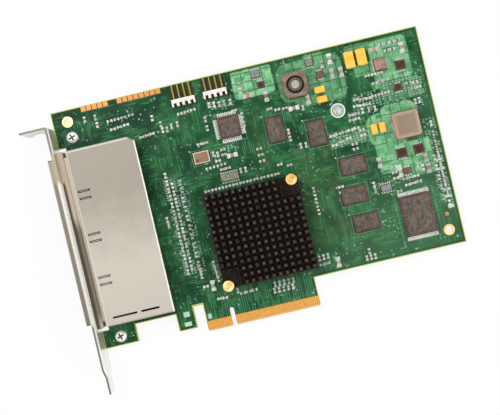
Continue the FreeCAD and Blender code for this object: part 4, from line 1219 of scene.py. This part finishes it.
def printed_marks():
    """White outlines round the packages, dots at their first pins, and one plain ring."""
    strokes, dots = [], []
    for node in OUTLINED:
        low, high = node_box(node)
        gap = OUTLINE_GAP + (LEAD_ROOM if node in LEADED else 0)
        x0, y0, x1, y1 = low.x - gap, low.y - gap, high.x + gap, high.y + gap
        mx, my = (x0 + x1) / 2, (y0 + y1) / 2
        strokes += [Place(mx, y, INK / 2, size=(x1 - x0, STROKE, INK)) for y in (y0, y1)]
        strokes += [Place(x, my, INK / 2, size=(STROKE, y1 - y0, INK)) for x in (x0, x1)]
        dots.append((x0 - 0.5, y1 + 0.3))
    bar = Pattern("printed_outlines", Unit=1.0)
    unit = bar.given("Unit")
    bar.lay(bar.box(unit, unit, unit), "faded_ink", strokes, "solder_mask")
    turned("printed_dots", "solder_mask", disc(DOT_RADIUS, INK), dots, 12, "white_ink")
    x, y, radius = PRINTED_RING
    inner = radius - RING_STROKE
    ring = [(inner, 0), (inner, INK), (radius, INK), (radius, 0), (inner, 0)]
    turned("printed_ring", "solder_mask", ring, [(x, y)], 48, "white_ink")
    turned("printed_middle", "solder_mask", disc(radius - RING_INSET, INK), [(x, y)], 48, "worn_ink")


def sheared_bracket():
    """Folded sheet with a bright inner face and sheared edges."""
    bm = merged("bracket")
    for face in bm.faces:
        if face.normal.z > 0.4 and face.calc_center_median().z > 5 * MM:
            face.material_index = 1
        elif face.normal.x > 0.9:
            face.material_index = 2
    round_edges(bm, BRACKET_ROUNDING)
    mesh = plain_mesh(bm, "bracket_finished", "bracket_steel", "sheared_edge", "inner_steel")
    add_piece("bracket_finished", mesh, "bracket_steel", "bracket")


def dimpled_pins():
    """Push pins with a rounded head and a shallow dimple."""
    bm = merged("push_pins")
    top = max(v.co.z for v in bm.verts)
    round_edges(bm, PIN_ROUNDING, segments=3, least=40)
    heads = [face for face in bm.faces
             if face.normal.z > 0.99 and abs(face.calc_center_median().z - top) < 1e-6]
    margin, slope, depth = PIN_DIMPLE
    bmesh.ops.inset_individual(bm, faces=heads, thickness=margin * MM)
    bmesh.ops.inset_individual(bm, faces=heads, thickness=slope * MM, depth=-depth * MM)
    mesh = plain_mesh(bm, "push_pins_finished", "pin_brass")
    add_piece("push_pins_finished", mesh, "pin_brass", "push_pins")


def set_camera():
    """Camera that sees the card as the photograph does."""
    lean, heading = math.radians(CAMERA_LEAN), math.radians(CAMERA_LEAN_HEADING)
    back = Vector((math.sin(lean) * math.cos(heading), math.sin(lean) * math.sin(heading), math.cos(lean)))
    turn = math.radians(CAMERA_TURN)
    right = Vector((math.cos(turn), math.sin(turn), 0))
    right = (right - back * right.dot(back)).normalized()
    up = back.cross(right)
    eye = at(*CAMERA_AIM) + back * CAMERA_DISTANCE * MM
    camera = new_object("camera", bpy.data.cameras.new("camera"))
    camera.data.sensor_fit = "HORIZONTAL"
    camera.data.sensor_width = SENSOR_WIDTH
    camera.data.lens = FOCAL_PIXELS / PHOTO_WIDTH * SENSOR_WIDTH
    camera.data.clip_start = 0.01
    axes = Matrix((right, up, back)).transposed().to_4x4()
    camera.matrix_world = Matrix.Translation(eye) @ axes
    bpy.context.scene.camera = camera


def area_light(name, place, size, power):
    """Soft square lamp at a board place, turned to the middle of the board."""
    lamp = new_object(name, bpy.data.lights.new(name, "AREA"))
    lamp.data.size = size * MM
    lamp.data.energy = power
    lamp.location = at(*place)
    aim = at(*CAMERA_AIM) - lamp.location
    lamp.rotation_euler = aim.to_track_quat("-Z", "Y").to_euler()


def studio_world():
    """Even white surround, dimmer as a lamp than as a backdrop."""
    world = bpy.data.worlds.new("studio")
    world.use_nodes = True
    graph = Graph(world.node_tree)
    background = world.node_tree.nodes["Background"]
    background.inputs["Color"].default_value = (1, 1, 1, 1)
    strength = WORLD_LIGHT + seen_rays(graph) * (1 - WORLD_LIGHT)
    world.node_tree.links.new(strength.socket, background.inputs["Strength"])
    return world


def set_stage():
    """White floor and surround, and three lamps."""
    bpy.ops.mesh.primitive_plane_add(size=FLOOR_SIZE * MM, location=at(*CAMERA_AIM[:2], FLOOR_Z))
    floor = bpy.context.object
    floor.name = "floor"
    floor.data.materials.append(floor_white())
    bpy.context.scene.world = studio_world()
    for name, lamp in LAMPS.items():
        area_light(name, *lamp)
    bpy.context.scene.view_settings.view_transform = "Standard"


dress_nodes()
for chip in MEMORY_CHIPS:
    marked_chip(chip, margin=0.9)
marked_chip("quad_chip", margin=1.3)
marked_chip("flash_chip", margin=1.4)
marked_chip("small_chips", margin=0.35, top="dark_top")
soft_edged("heat_sink", width=0.25)
sheared_bracket()
for solid, rounding in SOFT_EDGES.items():
    soft_edged(solid, rounding)
chip_passives("small_capacitors", "chip_capacitors", MORE_CAPACITORS, SMALL_CHIP_SIZE, CAPACITOR_END)
chip_passives("small_resistors", "chip_resistors", MORE_RESISTORS, SMALL_CHIP_SIZE, RESISTOR_END)
chip_passives("large_capacitors", "power_capacitors", MORE_LARGE_CAPACITORS, LARGE_CHIP_SIZE, CAPACITOR_END)
gull_wing_leads("quad_gull_wings", "quad_leads", "quad_chip", rise=0.8, width=0.52)
gull_wing_leads("flash_gull_wings", "flash_leads", "flash_chip", rise=0.6, width=0.34)
lands("quad_lands", lead_places("quad_leads", "quad_chip"), width=0.62, length=1.6)
lands("flash_lands", lead_places("flash_leads", "flash_chip"), width=0.38, length=1.6)
lands("small_chip_lands", small_chip_places(), width=0.6, length=0.7)
push_pin_coils()
dimpled_pins()
bracket_screw_heads()
plated_holes()
solder_joints()
printed_marks()
set_camera()
set_stage()
